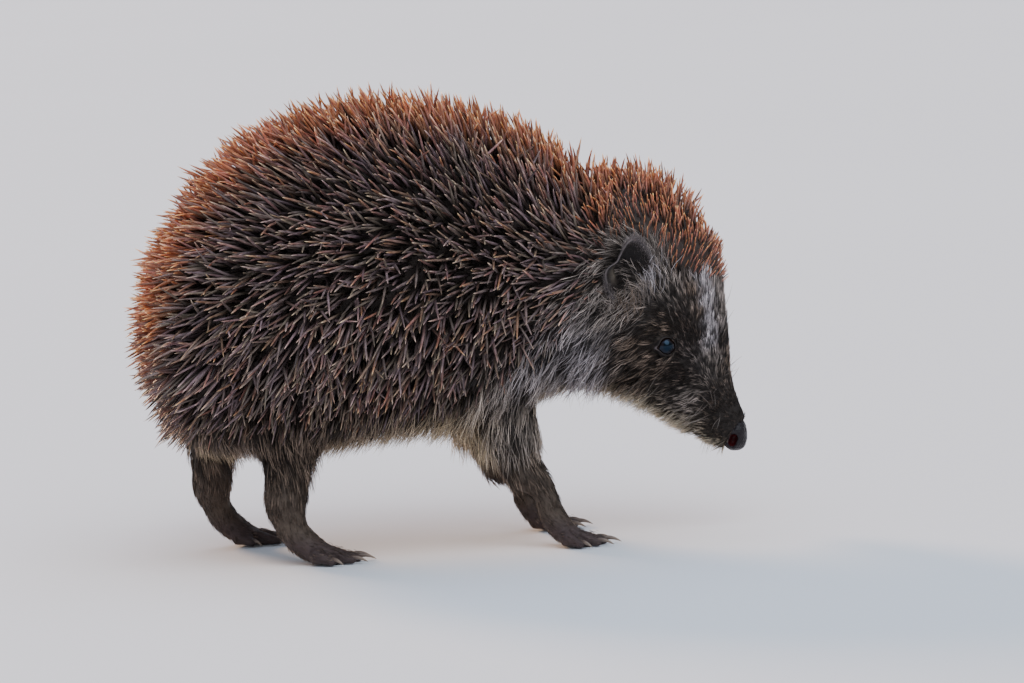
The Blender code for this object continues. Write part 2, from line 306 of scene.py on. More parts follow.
def blurred(values, passes):
    for _ in range(passes):
        for k in range(3):
            values = 0.5 * values + 0.25 * (np.roll(values, 1, k) + np.roll(values, -1, k))
    return values


def join(a, b, reach):
    """The union of two bodies, rounded over a reach."""
    near = np.maximum(reach - np.abs(a - b), 0.0) / reach
    return np.minimum(a, b) - near * near * reach * 0.25


def cut(a, b, reach):
    """The first body without the second, with a rounded edge."""
    return -join(-a, b, reach)


def ball(axes, centre):
    return np.sqrt(sum((axes[k] - centre[k]) ** 2 for k in range(3)))


def rod(axes, start, end, start_radius, end_radius):
    """Distance to a tapered rod with round ends."""
    x, y, z = (axes[k] - start[k] for k in range(3))
    way = np.array(end, float) - np.array(start, float)
    share = np.clip((x * way[0] + y * way[1] + z * way[2]) / (way @ way), 0.0, 1.0)
    gap = np.sqrt((x - share * way[0]) ** 2 + (y - share * way[1]) ** 2 + (z - share * way[2]) ** 2)
    return gap - (start_radius + (end_radius - start_radius) * share)


def shape_rod(lattice, values, start, end, radii, reach, shape):
    """Joins a tapered rod to a body held on a lattice, or cuts it out, as shape says."""
    start, end = np.array(start, float), np.array(end, float)
    room = max(radii) + reach + 3.0 * lattice.step
    lattice.within(values, np.minimum(start, end) - room, np.maximum(start, end) + room,
                   lambda axes, old: shape(old, rod(axes, start, end, *radii), reach))


# ---------------------------------------------------------------- where the coat changes

BORDER = (  # (ahead, height) of the line where spines give way to hair
    (0, 44), (12, 44), (30, 46), (45, 47), (60, 45), (92, 44), (104, 49), (114, 56), (130, 63), (142, 71),
    (150, 84), (156, 96), (163, 97), (171, 88), (178, 83), (186, 79), (194, 79),
)
BORDER_BLEND = 7.0
# (ahead, how far the skin lies under the coat's outer surface)
SPINED_DEPTH = ((0, 12.5), (20, 14.5), (70, 16), (120, 14), (150, 12.5), (172, 11), (184, 9), (194, 8))
HAIRED_DEPTH = (
    (0, 8), (40, 6), (110, 5.5), (135, 4.5), (148, 3.0), (160, 2.2), (172, 1.4), (183, 0.8), (190, 0.35),
    (194, 0.2),
)
LEG_DEPTH = 0.9  # the same depth on the legs
PAW_DEPTH = 0.35  # and on the paws
BELLY_RISE = 15.0  # how much higher the border counts as being, on the underside
UNDERSIDE = ((14.0, 30.0), (20.0, 36.0))  # ahead over which it starts, out over which it ends
LEG_TOP = (21.0, 32.0)  # heights over which a leg's coat gives way to the body's
PAW_TOP = (8.0, 15.0)  # heights over which a paw's coat gives way to the leg's
FACE_START = 152.0  # legs are behind this, and the head is in front of it


def spined(ahead, height):
    """1 where spines grow, 0 where hair does."""
    return smooth_step(height - profile(BORDER, ahead), -BORDER_BLEND / 2, BORDER_BLEND / 2)


def coat_depth(ahead, out, height):
    """How far the skin lies under the coat's outer surface."""
    under = smooth_step(ahead, *UNDERSIDE[0]) * (1.0 - smooth_step(out, *UNDERSIDE[1]))
    on_leg = (ahead < FACE_START) * (1.0 - smooth_step(height, *LEG_TOP))
    leg_depth = PAW_DEPTH + (LEG_DEPTH - PAW_DEPTH) * smooth_step(height, *PAW_TOP)
    haired = profile(HAIRED_DEPTH, ahead) * (1.0 - on_leg) + leg_depth * on_leg
    return haired + (profile(SPINED_DEPTH, ahead) - haired) * spined(ahead, height - BELLY_RISE * under)


# ---------------------------------------------------------------- skin

EYES = ["eye_right", "eye_left"]
EARS = ["ear_right", "ear_left"]
FLESH = [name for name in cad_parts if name.startswith(("trunk", "neck", "head", "tail", "leg", "paw"))]
COARSE_STEP = 1.5
FINE_STEP = 0.5
FLAT_MERGE = 0.02  # how far nearly flat parts of the skin's mesh are merged
SOLE = 2.5  # below this a paw is cut level, and hair grows only where the skin faces up
SOLE_UP = 0.2  # least rise of the skin's normal that counts as facing up
# Rods that are blended into the skin or cut out of it: each end as (ahead, out, height), the radii there, and
# over what reach the rod blends with the skin.
BRIDGE = ((186.6, 0.0, 46.0), (190.9, 0.0, 35.0), (2.6, 2.5), 3.0)
MOUTH = ((189.0, 2.0, 26.6), (177.5, 8.6, 36.0), (0.45, 0.35), 0.6)
BROW = ((150.0, 1.2), (50.0, 1.5))  # at each end: degrees round the eye, and how far along its gaze
BROW_OUT = 3.7
BROW_RADII = (0.9, 0.9)
BROW_REACH = 1.6
EAR_ROOT = ((7.6, 1.5, 2.6), (14.0, 3.0, 7.0))  # at each end: how far inwards and down, and the radius
EAR_ROOT_REACH = 4.0
LEG_ROOTS = (("hind", -2.0), ("fore", 4.0))  # leg, how far back its root in the trunk is from its knee
LEG_ROOT_UP = 24.0
LEG_ROOT_IN = 5.0
LEG_ROOT_RADIUS = 9.0
LEG_ROOT_REACH = 6.0
KNEE_UNDER = 0.12  # share of the leg's height that its knee is under its middle
KNEE_RADIUS = 0.33  # of the leg's width
COLLAR_REACH = 1.6


GAZE = (0.97, -0.23, 0.04)
OPENING = (2.55, 2.65)  # half the eye's opening, along it and across it
OPENING_CORNERS = ((196.0, 15.0, 0.75), (345.0, 13.0, 0.35))  # degrees round, width, how far it reaches out


class EyePlace:
    """Where an eye sits, and the way that it looks."""

    def __init__(self, side, sign):
        self.centre = box_centre(f"eye_{side}")
        self.radius = box_size(f"eye_{side}").max() / 2.0
        self.gaze = unit(np.array([GAZE[0] * sign, GAZE[1], GAZE[2]]))
        front = np.array([0.0, -1.0, -0.15])
        self.fore = unit(front - self.gaze * (self.gaze @ front))
        self.rise = np.cross(self.gaze, self.fore)
        self.rise *= np.sign(self.rise[2])
        self.mirrored = np.cross(self.fore, self.rise) @ self.gaze < 0

    def place(self, turn, reach, over):
        """Points at a turn round the gaze, a reach away from its line and a height along it."""
        across = self.fore * np.cos(turn)[..., None] + self.rise * np.sin(turn)[..., None]
        return self.centre + across * reach[..., None] + self.gaze * over[..., None]

    def opening(self, turn):
        """How far the lids' edge is from the line of the gaze: a long oval with two corners."""
        edge = 1.0 / np.sqrt((np.cos(turn) / OPENING[0]) ** 2 + (np.sin(turn) / OPENING[1]) ** 2)
        for middle, width, reach in OPENING_CORNERS:
            edge = edge + reach * bell(np.degrees(turn), middle, width)
        return edge


class EarPlace:
    """Where an ear sits: the way that its cup opens, and two ways across it."""

    def __init__(self, side, sign):
        self.out = unit(np.array([0.867 * sign, -0.449, -0.216]))
        self.above = unit(np.array([0.242 * sign, 0.0, 0.970]))
        self.front = np.cross(self.out, self.above) * sign
        self.front *= -np.sign(self.front[1])
        self.middle = box_centre(f"ear_{side}") + self.front * 0.9
        self.mirrored = np.cross(self.front, self.above) @ self.out < 0


def nose_collar(axes):
    """The flesh that holds the nose pad from behind."""
    middle = box_centre("nose")
    size = box_size("nose") / 2.0
    pad = np.sqrt(sum(((axes[k] - middle[k]) / size[k]) ** 2 for k in range(3)))
    front = middle[1] + 1.9 - 0.7 * (axes[2] - middle[2])
    return np.maximum((pad - 1.0) * size.min() - 0.2, front - axes[1])


def skin_field(coarse, fine):
    """Signed distance to the bare skin on the fine lattice, without the ears and the lids, and to the CAD
    model's outer surface on the coarse one."""
    axes = coarse.axes()
    solid = coarse.closed_distance(FLESH + EYES + EARS, 24.0)
    deep = solid + coat_depth(HIGH[1] - axes[1], np.abs(axes[0]), axes[2])
    field = fine.take(coarse, blurred(deep, 4))
    axes = fine.axes()
    near = fine.closed_distance(FLESH + EYES, 4.0)
    near += coat_depth(HIGH[1] - axes[1], np.abs(axes[0]), axes[2])
    field = np.minimum(field, near)
    del near
    field = join(field, nose_collar(axes), COLLAR_REACH)
    start, end, radii, reach = BRIDGE
    shape_rod(fine, field, at(*start), at(*end), radii, reach, join)
    for side, sign in SIDES:
        for leg, back in LEG_ROOTS:
            size = box_size(f"leg_{leg}_{side}")
            knee = box_centre(f"leg_{leg}_{side}") - np.array([0.0, 0.0, size[2] * KNEE_UNDER])
            root = knee + np.array([-sign * LEG_ROOT_IN, back, LEG_ROOT_UP])
            radii = (size[0] * KNEE_RADIUS, LEG_ROOT_RADIUS)
            shape_rod(fine, field, knee, root, radii, LEG_ROOT_REACH, join)
        ear = EarPlace(side, sign)
        start, end = (ear.middle - ear.out * inwards - ear.above * down for inwards, down, _ in EAR_ROOT)
        shape_rod(fine, field, start, end, [radius for _, _, radius in EAR_ROOT], EAR_ROOT_REACH, join)
    field = blurred(field, 2)
    for side, sign in SIDES:
        eye = EyePlace(side, sign)
        back, front = (eye.place(*(np.array(v) for v in (math.radians(turn), BROW_OUT, over)))
                       for turn, over in BROW)
        shape_rod(fine, field, back, front, BROW_RADII, BROW_REACH, join)
        start, end = (at(ahead, out * sign, height) for ahead, out, height in MOUTH[:2])
        shape_rod(fine, field, start, end, *MOUTH[2:], cut)
        for paw in ("fore", "hind"):
            shape_toes(fine, field, paw, side)
    return field, solid


CLAWS = range(1, 6)
ROOT_SHARE = 0.93  # points at least this share of a claw's length from its tip make up its root
TOE_LENGTH = 4.6  # from the claw's root back to the knuckle
TOE_RISE = 0.7  # of the knuckle over the root
TOE_RADII = (1.75, 1.2)
TOE_REACH = 0.9
TOE_PAST = 1.5  # how far toes and furrows go on past the roots
FURROW_LENGTH = 5.0
FURROW_RISE = 2.4
FURROW_RADII = (0.75, 0.35)
FURROW_REACH = 0.8
SOLE_LEVEL = 0.05  # how high the soles are


def claw_line(name):
    """The middle of a claw's root and its tip, from its CAD node."""
    place, _ = node_mesh([name])
    tip = place[np.argmin(place[:, 1])]
    gap = np.linalg.norm(place - tip, axis=1)
    return place[gap > gap.max() * ROOT_SHARE].mean(0), tip


def shape_toes(lattice, values, paw, side):
    """A toe round the root of each claw of one foot, with a furrow between each two."""
    lines = [claw_line(f"claw_{paw}_{side}_{n}") for n in CLAWS]
    lines.sort(key=lambda line: line[0][0])
    ways = [unit(tip - root) for root, tip in lines]
    for (root, _), way in zip(lines, ways):
        knuckle = root - way * TOE_LENGTH + np.array([0.0, 0.0, TOE_RISE])
        shape_rod(lattice, values, knuckle, root + way * TOE_PAST, TOE_RADII, TOE_REACH, join)
    for n in range(len(lines) - 1):
        between = (lines[n][0] + lines[n + 1][0]) / 2.0
        way = unit(ways[n] + ways[n + 1])
        back = between - way * FURROW_LENGTH + np.array([0.0, 0.0, FURROW_RISE])
        shape_rod(lattice, values, between + way * TOE_PAST, back, FURROW_RADII, FURROW_REACH, cut)
    low = lattice.axis(2) < SOLE
    values[:, :, low] = np.maximum(values[:, :, low], SOLE_LEVEL - lattice.axis(2)[low])


LID_SIDES = 60
LID_ROWS = (  # how far out from the opening's edge, how high over the eyeball
    (0.12, -0.5), (0.0, 0.03), (0.03, 0.2), (0.16, 0.36), (0.42, 0.45), (0.8, 0.5), (1.2, 0.44), (1.6, 0.5),
    (2.1, 0.52), (2.6, 0.46), (3.1, 0.5), (3.7, 0.5), (4.4, 0.5),
)


def eyelids(eye, fine, field):
    """The lids: a sheet of skin from the edge of the eye's opening out to where it sinks into the head."""
    turn = all_round(LID_SIDES)
    out, over = np.array(LID_ROWS).T
    turns = turn[None, :] + 0.0 * out[:, None]
    reach = eye.opening(turn)[None, :] + out[:, None]
    climb = np.arange(6.0, -9.0, -0.15)
    lines = eye.place(turns[..., None], reach[..., None] + 0.0 * climb, climb + 0.0 * reach[..., None])
    inside = fine.read(field, lines) < 0.0
    skin_height = climb[np.argmax(inside, -1)]
    for _ in range(3):
        skin_height = (skin_height + np.roll(skin_height, 1, 1) + np.roll(skin_height, -1, 1)) / 3.0
    full = eye.radius + over[:, None]
    ball_height = np.sqrt(np.maximum(full ** 2 - reach ** 2, 0.0)) - 2.0 * np.maximum(reach - full, 0.0)
    free = smooth_step(out, 0.1, 1.6)[:, None]
    sink = -0.35 * smooth_step(out, 3.1, 4.4)[:, None] + 0.12
    higher = -join(-ball_height, -(skin_height + sink), 1.6)
    height = ball_height * (1.0 - free) + higher * free
    points = eye.place(turns, reach, height).reshape(-1, 3)
    faces = grid_faces(len(LID_ROWS), LID_SIDES)
    corner = bell(np.degrees(turns), OPENING_CORNERS[0][0], 11.0) * bell(out[:, None], 0.0, 0.5)
    # A paler band along the very edge of the lids: a painted sheen of the wet rim.
    painted_sheen = bell(out[:, None], 0.0, 0.35) + 0.0 * turns
    colour = np.array(LID_DARK) + corner.reshape(-1, 1) * LID_CORNER + painted_sheen.reshape(-1, 1) * LID_EDGE_SHEEN
    outer = smooth_step(out[:, None] + 0.0 * turns, 0.8, 3.2).reshape(-1, 1)
    colour = colour * (1.0 - outer) + skin_colours(points) * outer
    return points, faces if eye.mirrored else faces[:, ::-1], colour


EAR_FIRST = -36.0  # degrees round from the front
EAR_EDGE = (  # degrees round from the front, how far the edge is from the middle
    (-36, 8.6), (-28, 8.1), (0, 7.7), (25, 7.7), (49, 8.4), (66, 10.0), (80, 10.9), (90, 10.0), (100, 8.2),
    (114, 6.5), (138, 5.2), (152, 5.5), (166, 6.6), (184, 7.9), (204, 8.6), (229, 9.6), (250, 11.0),
    (277, 10.8), (301, 9.6), (324, 8.6),
)
EAR_SIDES = 96
EAR_RINGS = 22
EAR_THICK = 0.85


def ear_sheet(side, sign):
    """An ear: a thin cup with a rolled rim, a step in its back edge, and a ridge inside. The rows of points
    run from its middle over the rim to the middle of its back."""
    ear = EarPlace(side, sign)
    turn = 360.0 * np.arange(EAR_SIDES) / EAR_SIDES
    edge = profile(EAR_EDGE, (turn - EAR_FIRST) % 360.0 + EAR_FIRST)
    for _ in range(2):
        edge = (edge + np.roll(edge, 1) + np.roll(edge, -1)) / 3.0
    share = np.linspace(0.0, 1.0, EAR_RINGS) ** 0.85
    share[0] = 0.02
    share = share[:, None] + 0.0 * turn
    turns = turn[None, :] + 0.0 * share
    angle = np.radians(turns)
    stand = 1.6 * bell(turns, 75.0, 60.0) - 1.2 * bell(turns, 172.0, 20.0)
    stand -= 4.2 * bell(turns, 290.0, 48.0)
    height = stand * share ** 1.5 - 4.4 * (1.0 - share ** 2) + 0.5
    height += 0.35 * bell(share, 0.94, 0.07)
    height += 1.3 * bell(share - 0.55, 0.08 * np.sin(angle), 0.12) * bell(turns, 200.0, 42.0)
    height += 0.7 * bell(share, 0.6, 0.1) * bell(turns, 120.0, 24.0)
    height += 0.14 * np.sin(angle * 9.0) * share * (1.0 - share) * 4.0
    flat_front = edge * share * np.cos(angle)
    flat_above = edge * share * np.sin(angle)
    thick = EAR_THICK * (1.0 - 0.35 * share)
    rows = []
    for lift, grow in ((0.0, 1.0), (-0.5, 1.035), (-1.0, 1.0)):
        across = (flat_front * grow)[..., None] * ear.front
        upwards = (flat_above * grow)[..., None] * ear.above
        rows.append(ear.middle + across + upwards + (height + lift * thick)[..., None] * ear.out)
    points = np.concatenate([rows[0], rows[1][-1:], rows[2][::-1]]).reshape(-1, 3)
    faces = grid_faces(len(points) // EAR_SIDES, EAR_SIDES)
    # Painted shade makes the ear's cup near-black. The rim is paler, partly its own pale colour and partly
    # painted light, widest and palest on top; the ridge in the cup is lighter.
    top = bell(turns, 125.0, 65.0)
    rim = (smooth_step(share, 0.92 - 0.3 * top, 1.0 - 0.14 * top) * (0.2 + 0.8 * top))[..., None]
    ridge = (bell(share, 0.55, 0.14) * bell(turns, 200.0, 34.0))[..., None]
    inner = np.array(EAR_CUP_SHADE) * (1.0 - rim) + np.array(EAR_RIM_PALE_AND_LIT) * rim + ridge * EAR_RIDGE
    back = np.array(EAR_BACK) * (1.0 - rim) + np.array(EAR_RIM_PALE_AND_LIT) * rim
    colour = np.concatenate([inner, inner[-1:], back[::-1]]).reshape(-1, 3)
    return points, faces if ear.mirrored else faces[:, ::-1], colour


SKIN_DARK = (0.042, 0.032, 0.028)
SKIN_FOOT = (0.050, 0.034, 0.033)
SKIN_SHARE = 0.11  # of the pale hair's colour
LEG_SHARE = 0.16  # more of it on the legs
LID_DARK = (0.012, 0.009, 0.008)
LID_CORNER = (0.16, 0.13, 0.13)
# Painted sheen along the edge of the lids.
LID_EDGE_SHEEN = (0.018, 0.014, 0.013)
# Ear colours: near-black painted shade in the cup, a rim partly pale of its own and partly painted light, a
# lighter ridge, and the back.
EAR_CUP_SHADE = (0.012, 0.009, 0.008)
EAR_RIM_PALE_AND_LIT = (0.13, 0.108, 0.108)
EAR_RIDGE = (0.07, 0.058, 0.042)
EAR_BACK = (0.035, 0.026, 0.025)
SOCKET_GAP = 0.3


def skin_colours(points):
    animal = to_animal(points)
    on_leg = (animal[:, :1] < FACE_START) * (1.0 - smooth_step(animal[:, 2:], 20.0, 34.0))
    colours = guided(HAIR_LIE, points)[:, 7:10] * (SKIN_SHARE + LEG_SHARE * on_leg)
    share = spined(animal[:, 0], animal[:, 2])[:, None]
    colours = colours * (1.0 - share) + np.array(SKIN_DARK) * share
    foot = (1.0 - smooth_step(animal[:, 2], 5.0, 12.0))[:, None]
    return colours * (1.0 - foot) + np.array(SKIN_FOOT) * foot


def build_skin():
    """The bare skin with its lids and ears, as the ground that the coat grows on."""
    coarse = Lattice(LOW - 6.0, HIGH + 6.0, COARSE_STEP)
    fine = Lattice(LOW - 3.0, HIGH + 3.0, FINE_STEP)
    field, solid = skin_field(coarse, fine)
    sheets = [eyelids(EyePlace(side, sign), fine, field) for side, sign in SIDES]
    sheets += [ear_sheet(side, sign) for side, sign in SIDES]
    for side, sign in SIDES:
        eye = EyePlace(side, sign)
        field = cut(field, ball(fine.axes(), eye.centre) - eye.radius - SOCKET_GAP, 0.5)
    points, triangles, quads = fine.surface(field, 0.0, FLAT_MERGE)
    colours = [skin_colours(points)] + [sheet[2] for sheet in sheets]
    starts = np.cumsum([len(points)] + [len(sheet[0]) for sheet in sheets])
    quads = np.concatenate([quads] + [sheet[1] + start for sheet, start in zip(sheets, starts)])
    points = np.concatenate([points] + [sheet[0] for sheet in sheets])
    skin = make_mesh("skin", points, [triangles, quads])
    unwrap(skin)
    paint(skin.data, "shade", np.concatenate(colours))
    finish_piece(skin, "skin", *FLESH, *EARS)
    return Ground(skin, (starts[0], starts[2]), coarse, solid)


def unwrap(thing):
    """Lays the surface out flat, as its own shape opens."""
    bpy.context.view_layer.objects.active = thing
    thing.select_set(True)
    bpy.ops.object.mode_set(mode="EDIT")
    bpy.ops.mesh.select_all(action="SELECT")
    bpy.ops.uv.smart_project(angle_limit=math.radians(66), island_margin=0.002)
    bpy.ops.object.mode_set(mode="OBJECT")
    thing.select_set(False)


BODY_SKIN, LIDS, EARS_SKIN = range(3)


LID_BARE = 0.45  # how far out from the opening's edge the lids are bare
EYE_NEAR = 8.0  # roots further than this along the gaze are not near the eye


class Ground:
    """The skin's triangles, on which roots are scattered."""

    def __init__(self, skin, starts, lattice, solid):
        mesh = skin.data
        mesh.calc_loop_triangles()
        corner = rows_of(mesh.loop_triangles, "vertices", kind=np.int32)
        loops = rows_of(mesh.loop_triangles, "loops", kind=np.int32)
        self.points = (rows_of(mesh.vertices, "co") / MM)[corner]
        self.normals = rows_of(mesh.vertex_normals, "vector")[corner]
        self.flat = rows_of(mesh.uv_layers[0].data, "uv", 2)[loops]
        self.kind = np.searchsorted(starts, corner[:, 0], side="right")
        edges = self.points[:, 1:] - self.points[:, :1]
        self.area = np.linalg.norm(np.cross(edges[:, 0], edges[:, 1]), axis=1) / 2.0
        self.eyes = [EyePlace(side, sign) for side, sign in SIDES]
        self.lattice, self.solid = lattice, solid

    def depth(self, places):
        """How far points lie under the CAD model's outer surface, which is that of the coat."""
        return -self.lattice.read(self.solid, places)

    def scatter(self, most, density, kinds):
        """Roots on some kinds of skin at a density per square millimetre, a function of their points."""
        area = self.area * np.isin(self.kind, kinds)
        total = int(area.sum() * most)
        pick = rng.choice(len(area), total, p=area / area.sum())
        share = rng.random((total, 2))
        over = share.sum(1) > 1.0
        share[over] = 1.0 - share[over]
        share = np.column_stack([1.0 - share.sum(1), share])[:, :, None]
        roots = {
            "place": (self.points[pick] * share).sum(1),
            "normal": unit((self.normals[pick] * share).sum(1)),
            "flat": (self.flat[pick] * share).sum(1),
            "kind": self.kind[pick],
        }
        keep = rng.random(total) * most < density(roots["place"])
        sole = (roots["place"][:, 2] < SOLE) & (roots["normal"][:, 2] < SOLE_UP)
        return picked(roots, keep & ~sole & ~self.hidden(roots))

    def hidden(self, roots):
        """Whether roots are on the rim of an eye's opening, or on skin that the lids cover."""
        hidden = np.zeros(len(roots["place"]), bool)
        for eye in self.eyes:
            away = roots["place"] - eye.centre
            over = away @ eye.gaze
            reach = np.linalg.norm(away - over[:, None] * eye.gaze, axis=1)
            turn = np.arctan2(away @ eye.rise, away @ eye.fore) % (2.0 * math.pi)
            past = reach - eye.opening(turn)
            close = np.abs(over) < EYE_NEAR
            hidden |= close & np.where(roots["kind"] == LIDS, past < LID_BARE, past < LID_ROWS[-2][0])
        return hidden


def picked(roots, chosen):
    return {key: values[chosen] for key, values in roots.items()}


def thinned(roots, spacing):
    """Only the roots that are at least a spacing from those kept before them."""
    cells, kept = {}, []
    keys = np.floor(roots["place"] / spacing).astype(int).tolist()
    steps = [(i, j, k) for i in (-1, 0, 1) for j in (-1, 0, 1) for k in (-1, 0, 1)]
    for n, (key, place) in enumerate(zip(keys, roots["place"].tolist())):
        around = [other for i, j, k in steps for other in cells.get((key[0] + i, key[1] + j, key[2] + k), ())]
        if all(math.dist(place, other) >= spacing for other in around):
            cells.setdefault(tuple(key), []).append(place)
            kept.append(n)
    return picked(roots, np.array(kept))


def raised(ways, normals, least, most):
    """Directions whose rise out of the skin is held between two sines."""
    ways = unit(ways)
    rise = (ways * normals).sum(1, keepdims=True)
    flat = unit(ways - rise * normals)
    held = np.clip(rise, least, most)
    return flat * np.sqrt(1.0 - held ** 2) + normals * held


# ---------------------------------------------------------------- strands

PATCH = 0.003  # how wide a strand's patch is on the map named OFBake
MOST_TRIANGLES = 185000  # in one piece of the coat


def strand_mesh(name, centres, radii, sides, along, flat):
    """Tapered closed strands as one mesh. centres holds each strand's points, the last being its tip, radii
    one radius for each point but the tip, and along how far each of these is on the way from root to tip."""
    count, rings = radii.shape
    way = unit(centres[:, -1] - centres[:, 0])
    across = unit(np.cross(way, unit(rng.normal(size=(count, 3)))))
    second = np.cross(way, across)
    angle = all_round(sides)
    circle = across[:, None] * np.cos(angle)[None, :, None] + second[:, None] * np.sin(angle)[None, :, None]
    points = centres[:, :-1, None] + circle[:, None] * radii[:, :, None, None]
    points = np.concatenate([points.reshape(count, rings * sides, 3), centres[:, -1:]], 1)
    each = rings * sides + 1
    ring, side = np.meshgrid(np.arange(rings - 1), np.arange(sides), indexing="ij")
    quads = grid_faces(rings, sides)
    level = np.append(along, 1.0)
    quad_flat = np.stack([
        np.stack([side, side + 1, side + 1, side], -1) / sides,
        np.stack([level[ring], level[ring], level[ring + 1], level[ring + 1]], -1),
    ], -1).reshape(-1, 2)
    last, side = (rings - 1) * sides, np.arange(sides)
    tips = np.stack([last + side, last + (side + 1) % sides, np.full(sides, rings * sides)], -1)
    tip_flat = np.stack([
        np.stack([side, side + 1, side + 0.5], -1) / sides,
        np.tile([level[-2], level[-2], 1.0], (sides, 1)),
    ], -1).reshape(-1, 2)
    base = side[::-1][None, :]
    base_flat = np.column_stack([side[::-1] / sides, np.zeros(sides)])
    start = (np.arange(count) * each)[:, None, None]
    faces = [(part[None] + start).reshape(-1, part.shape[1]) for part in (quads, tips, base)]
    thing = make_mesh(name, points.reshape(-1, 3), faces)
    corner = np.clip(flat - PATCH / 2.0, 0.0, 1.0 - PATCH)[:, None]
    laid = [(corner + part[None] * PATCH).reshape(-1, 2) for part in (quad_flat, tip_flat, base_flat)]
    layer = thing.data.uv_layers.new(name="OFBake")
    layer.data.foreach_set("uv", np.concatenate(laid).astype(np.float32).ravel())
    paint(thing.data, "along", np.tile(shares(along, sides), count))
    return thing, each


def shares(along, sides):
    """How far each point of one strand is on the way from root to tip."""
    return np.append(np.repeat(along, sides), 1.0)


def swept(start, ways, length, along, *bends):
    """Points of strands that leave their start along a way; each bend is an offset and a function of the
    share of the strand's length that says how much of it is felt there."""
    share = np.append(along, 1.0)
    shape = ways[:, None] * share[None, :, None]
    for offset, felt in bends:
        shape = shape + offset[:, None] * felt(share)[None, :, None]
    return start[:, None] + shape * length[:, None, None]


def squared(share):
    return share ** 2


def hair_piece(name, centres, radii, along, flat, colour, darker):
    """A piece of hair: each strand's colour, and how dark each of its points is beside that."""
    piece, _ = strand_mesh(name, centres, radii, HAIR_SIDES, along, flat)
    paint(piece.data, "shade", (colour[:, None] * darker[None, :, None]).reshape(-1, 3))
    finish_piece(piece, "fur")


def strand_triangles(sides, along):
    return 2 * sides * len(along) - 2


def in_pieces(name, triangles, order):
    """Splits strands into pieces with few enough triangles each, with a name for each piece."""
    parts = np.array_split(order, math.ceil(len(order) * triangles / MOST_TRIANGLES))
    return [(f"{name}_{n + 1}", part) for n, part in enumerate(parts)]


# ---------------------------------------------------------------- spines

SPINE_LIE = (  # place (ahead, out, height), way (ahead, out, up)
    ((0, 0, 73), (-1, 0, -0.05)), ((4, 0, 55), (-0.9, 0, -0.45)), ((9, 0, 44), (-0.6, 0, -0.8)),
    ((7, 0, 100), (-0.95, 0, 0.35)), ((20, 0, 122), (-0.85, 0, 0.55)), ((40, 0, 138), (-0.65, 0, 0.75)),
    ((65, 0, 147), (-0.45, 0, 0.9)), ((88, 0, 148), (-0.4, 0, 0.9)), ((108, 0, 144), (-0.42, 0, 0.9)),
    ((126, 0, 137), (-0.42, 0, 0.9)), ((150, 0, 122), (-0.25, 0, 0.97)), ((168, 0, 116), (0, 0, 1)),
    ((182, 0, 106), (0.25, 0, 0.97)), ((188, 0, 94), (0.45, 0, 0.85)), ((189, 0, 84), (0.35, 0, 0.9)),
    ((40, 27, 130), (-0.75, 0.5, 0.4)), ((65, 28, 136), (-0.65, 0.5, 0.6)),
    ((92, 28, 135), (-0.5, 0.45, 0.75)), ((120, 25, 126), (-0.55, 0.4, 0.7)),
    ((145, 20, 115), (-0.4, 0.35, 0.85)), ((12, 30, 98), (-0.85, 0.5, 0.15)),
    ((32, 40, 110), (-0.8, 0.55, 0.2)), ((60, 43, 113), (-0.8, 0.6, 0.0)),
    ((92, 42, 112), (-0.75, 0.6, 0.05)), ((120, 37, 108), (-0.75, 0.5, 0.4)),
    ((144, 27, 105), (-0.55, 0.45, 0.65)), ((34, 46, 95), (-0.8, 0.6, -0.15)),
    ((60, 49, 95), (-0.7, 0.7, -0.25)), ((92, 48, 95), (-0.65, 0.75, -0.3)),
    ((120, 42, 94), (-0.75, 0.6, 0.0)), ((140, 33, 93), (-0.75, 0.5, 0.1)),
    ((12, 36, 80), (-0.85, 0.5, -0.2)), ((34, 48, 80), (-0.6, 0.7, -0.45)),
    ((60, 53, 80), (-0.4, 0.75, -0.6)), ((92, 51, 80), (-0.3, 0.8, -0.65)),
    ((120, 43, 79), (-0.45, 0.65, -0.55)), ((143, 34, 78), (-0.6, 0.5, -0.55)),
    ((12, 34, 62), (-0.75, 0.5, -0.45)), ((34, 46, 62), (-0.5, 0.6, -0.6)),
    ((60, 51, 62), (-0.35, 0.6, -0.7)), ((92, 49, 62), (-0.25, 0.65, -0.75)),
    ((120, 40, 62), (-0.35, 0.5, -0.75)), ((14, 30, 47), (-0.5, 0.45, -0.75)),
    ((36, 42, 47), (-0.45, 0.45, -0.75)), ((60, 46, 47), (-0.3, 0.45, -0.85)),
    ((92, 45, 47), (-0.25, 0.45, -0.85)), ((116, 38, 54), (-0.3, 0.4, -0.85)),
    ((157, 22, 104), (-0.3, 0.4, 0.85)), ((170, 17, 100), (-0.12, 0.4, 0.9)),
    ((180, 14, 92), (0.03, 0.4, 0.9)), ((186, 9, 88), (0.2, 0.3, 0.9)),
)
# from ahead, to ahead, millimetres between roots
SPINE_SPACING = ((-10.0, 108.0, 1.36), (108.0, 146.0, 1.3), (146.0, 210.0, 1.2))
SPINE_DENSEST = 2.4  # roots a square millimetre before they are thinned out
SPINE_LENGTH = 20.0
SPINE_HEAD_SHARE = 0.78  # of the full length, for those on the head
SPINE_PAST = 1.8  # how far tips stand out past the CAD model's surface
SPINE_HEAD_PAST = 2.0  # and how much more of that on the head
SPINE_STEEPEST = 0.97  # sine of the angle to the skin
SPINE_RADIUS = 0.45
SPINE_SIDES = 5
SPINE_ALONG = np.array([0.0, 0.18, 0.55, 0.8, 0.93])
SPINE_SHAPE = np.array([0.55, 0.95, 1.0, 0.82, 0.42])
SPINE_ROOT = 1.2  # how deep the root is in the skin
SPINE_RAGGED = 0.18  # how uneven the border is
NEAR_BORDER = 20.0  # spines are finer and neater where they are lower than this above it, and darker there with painted shade


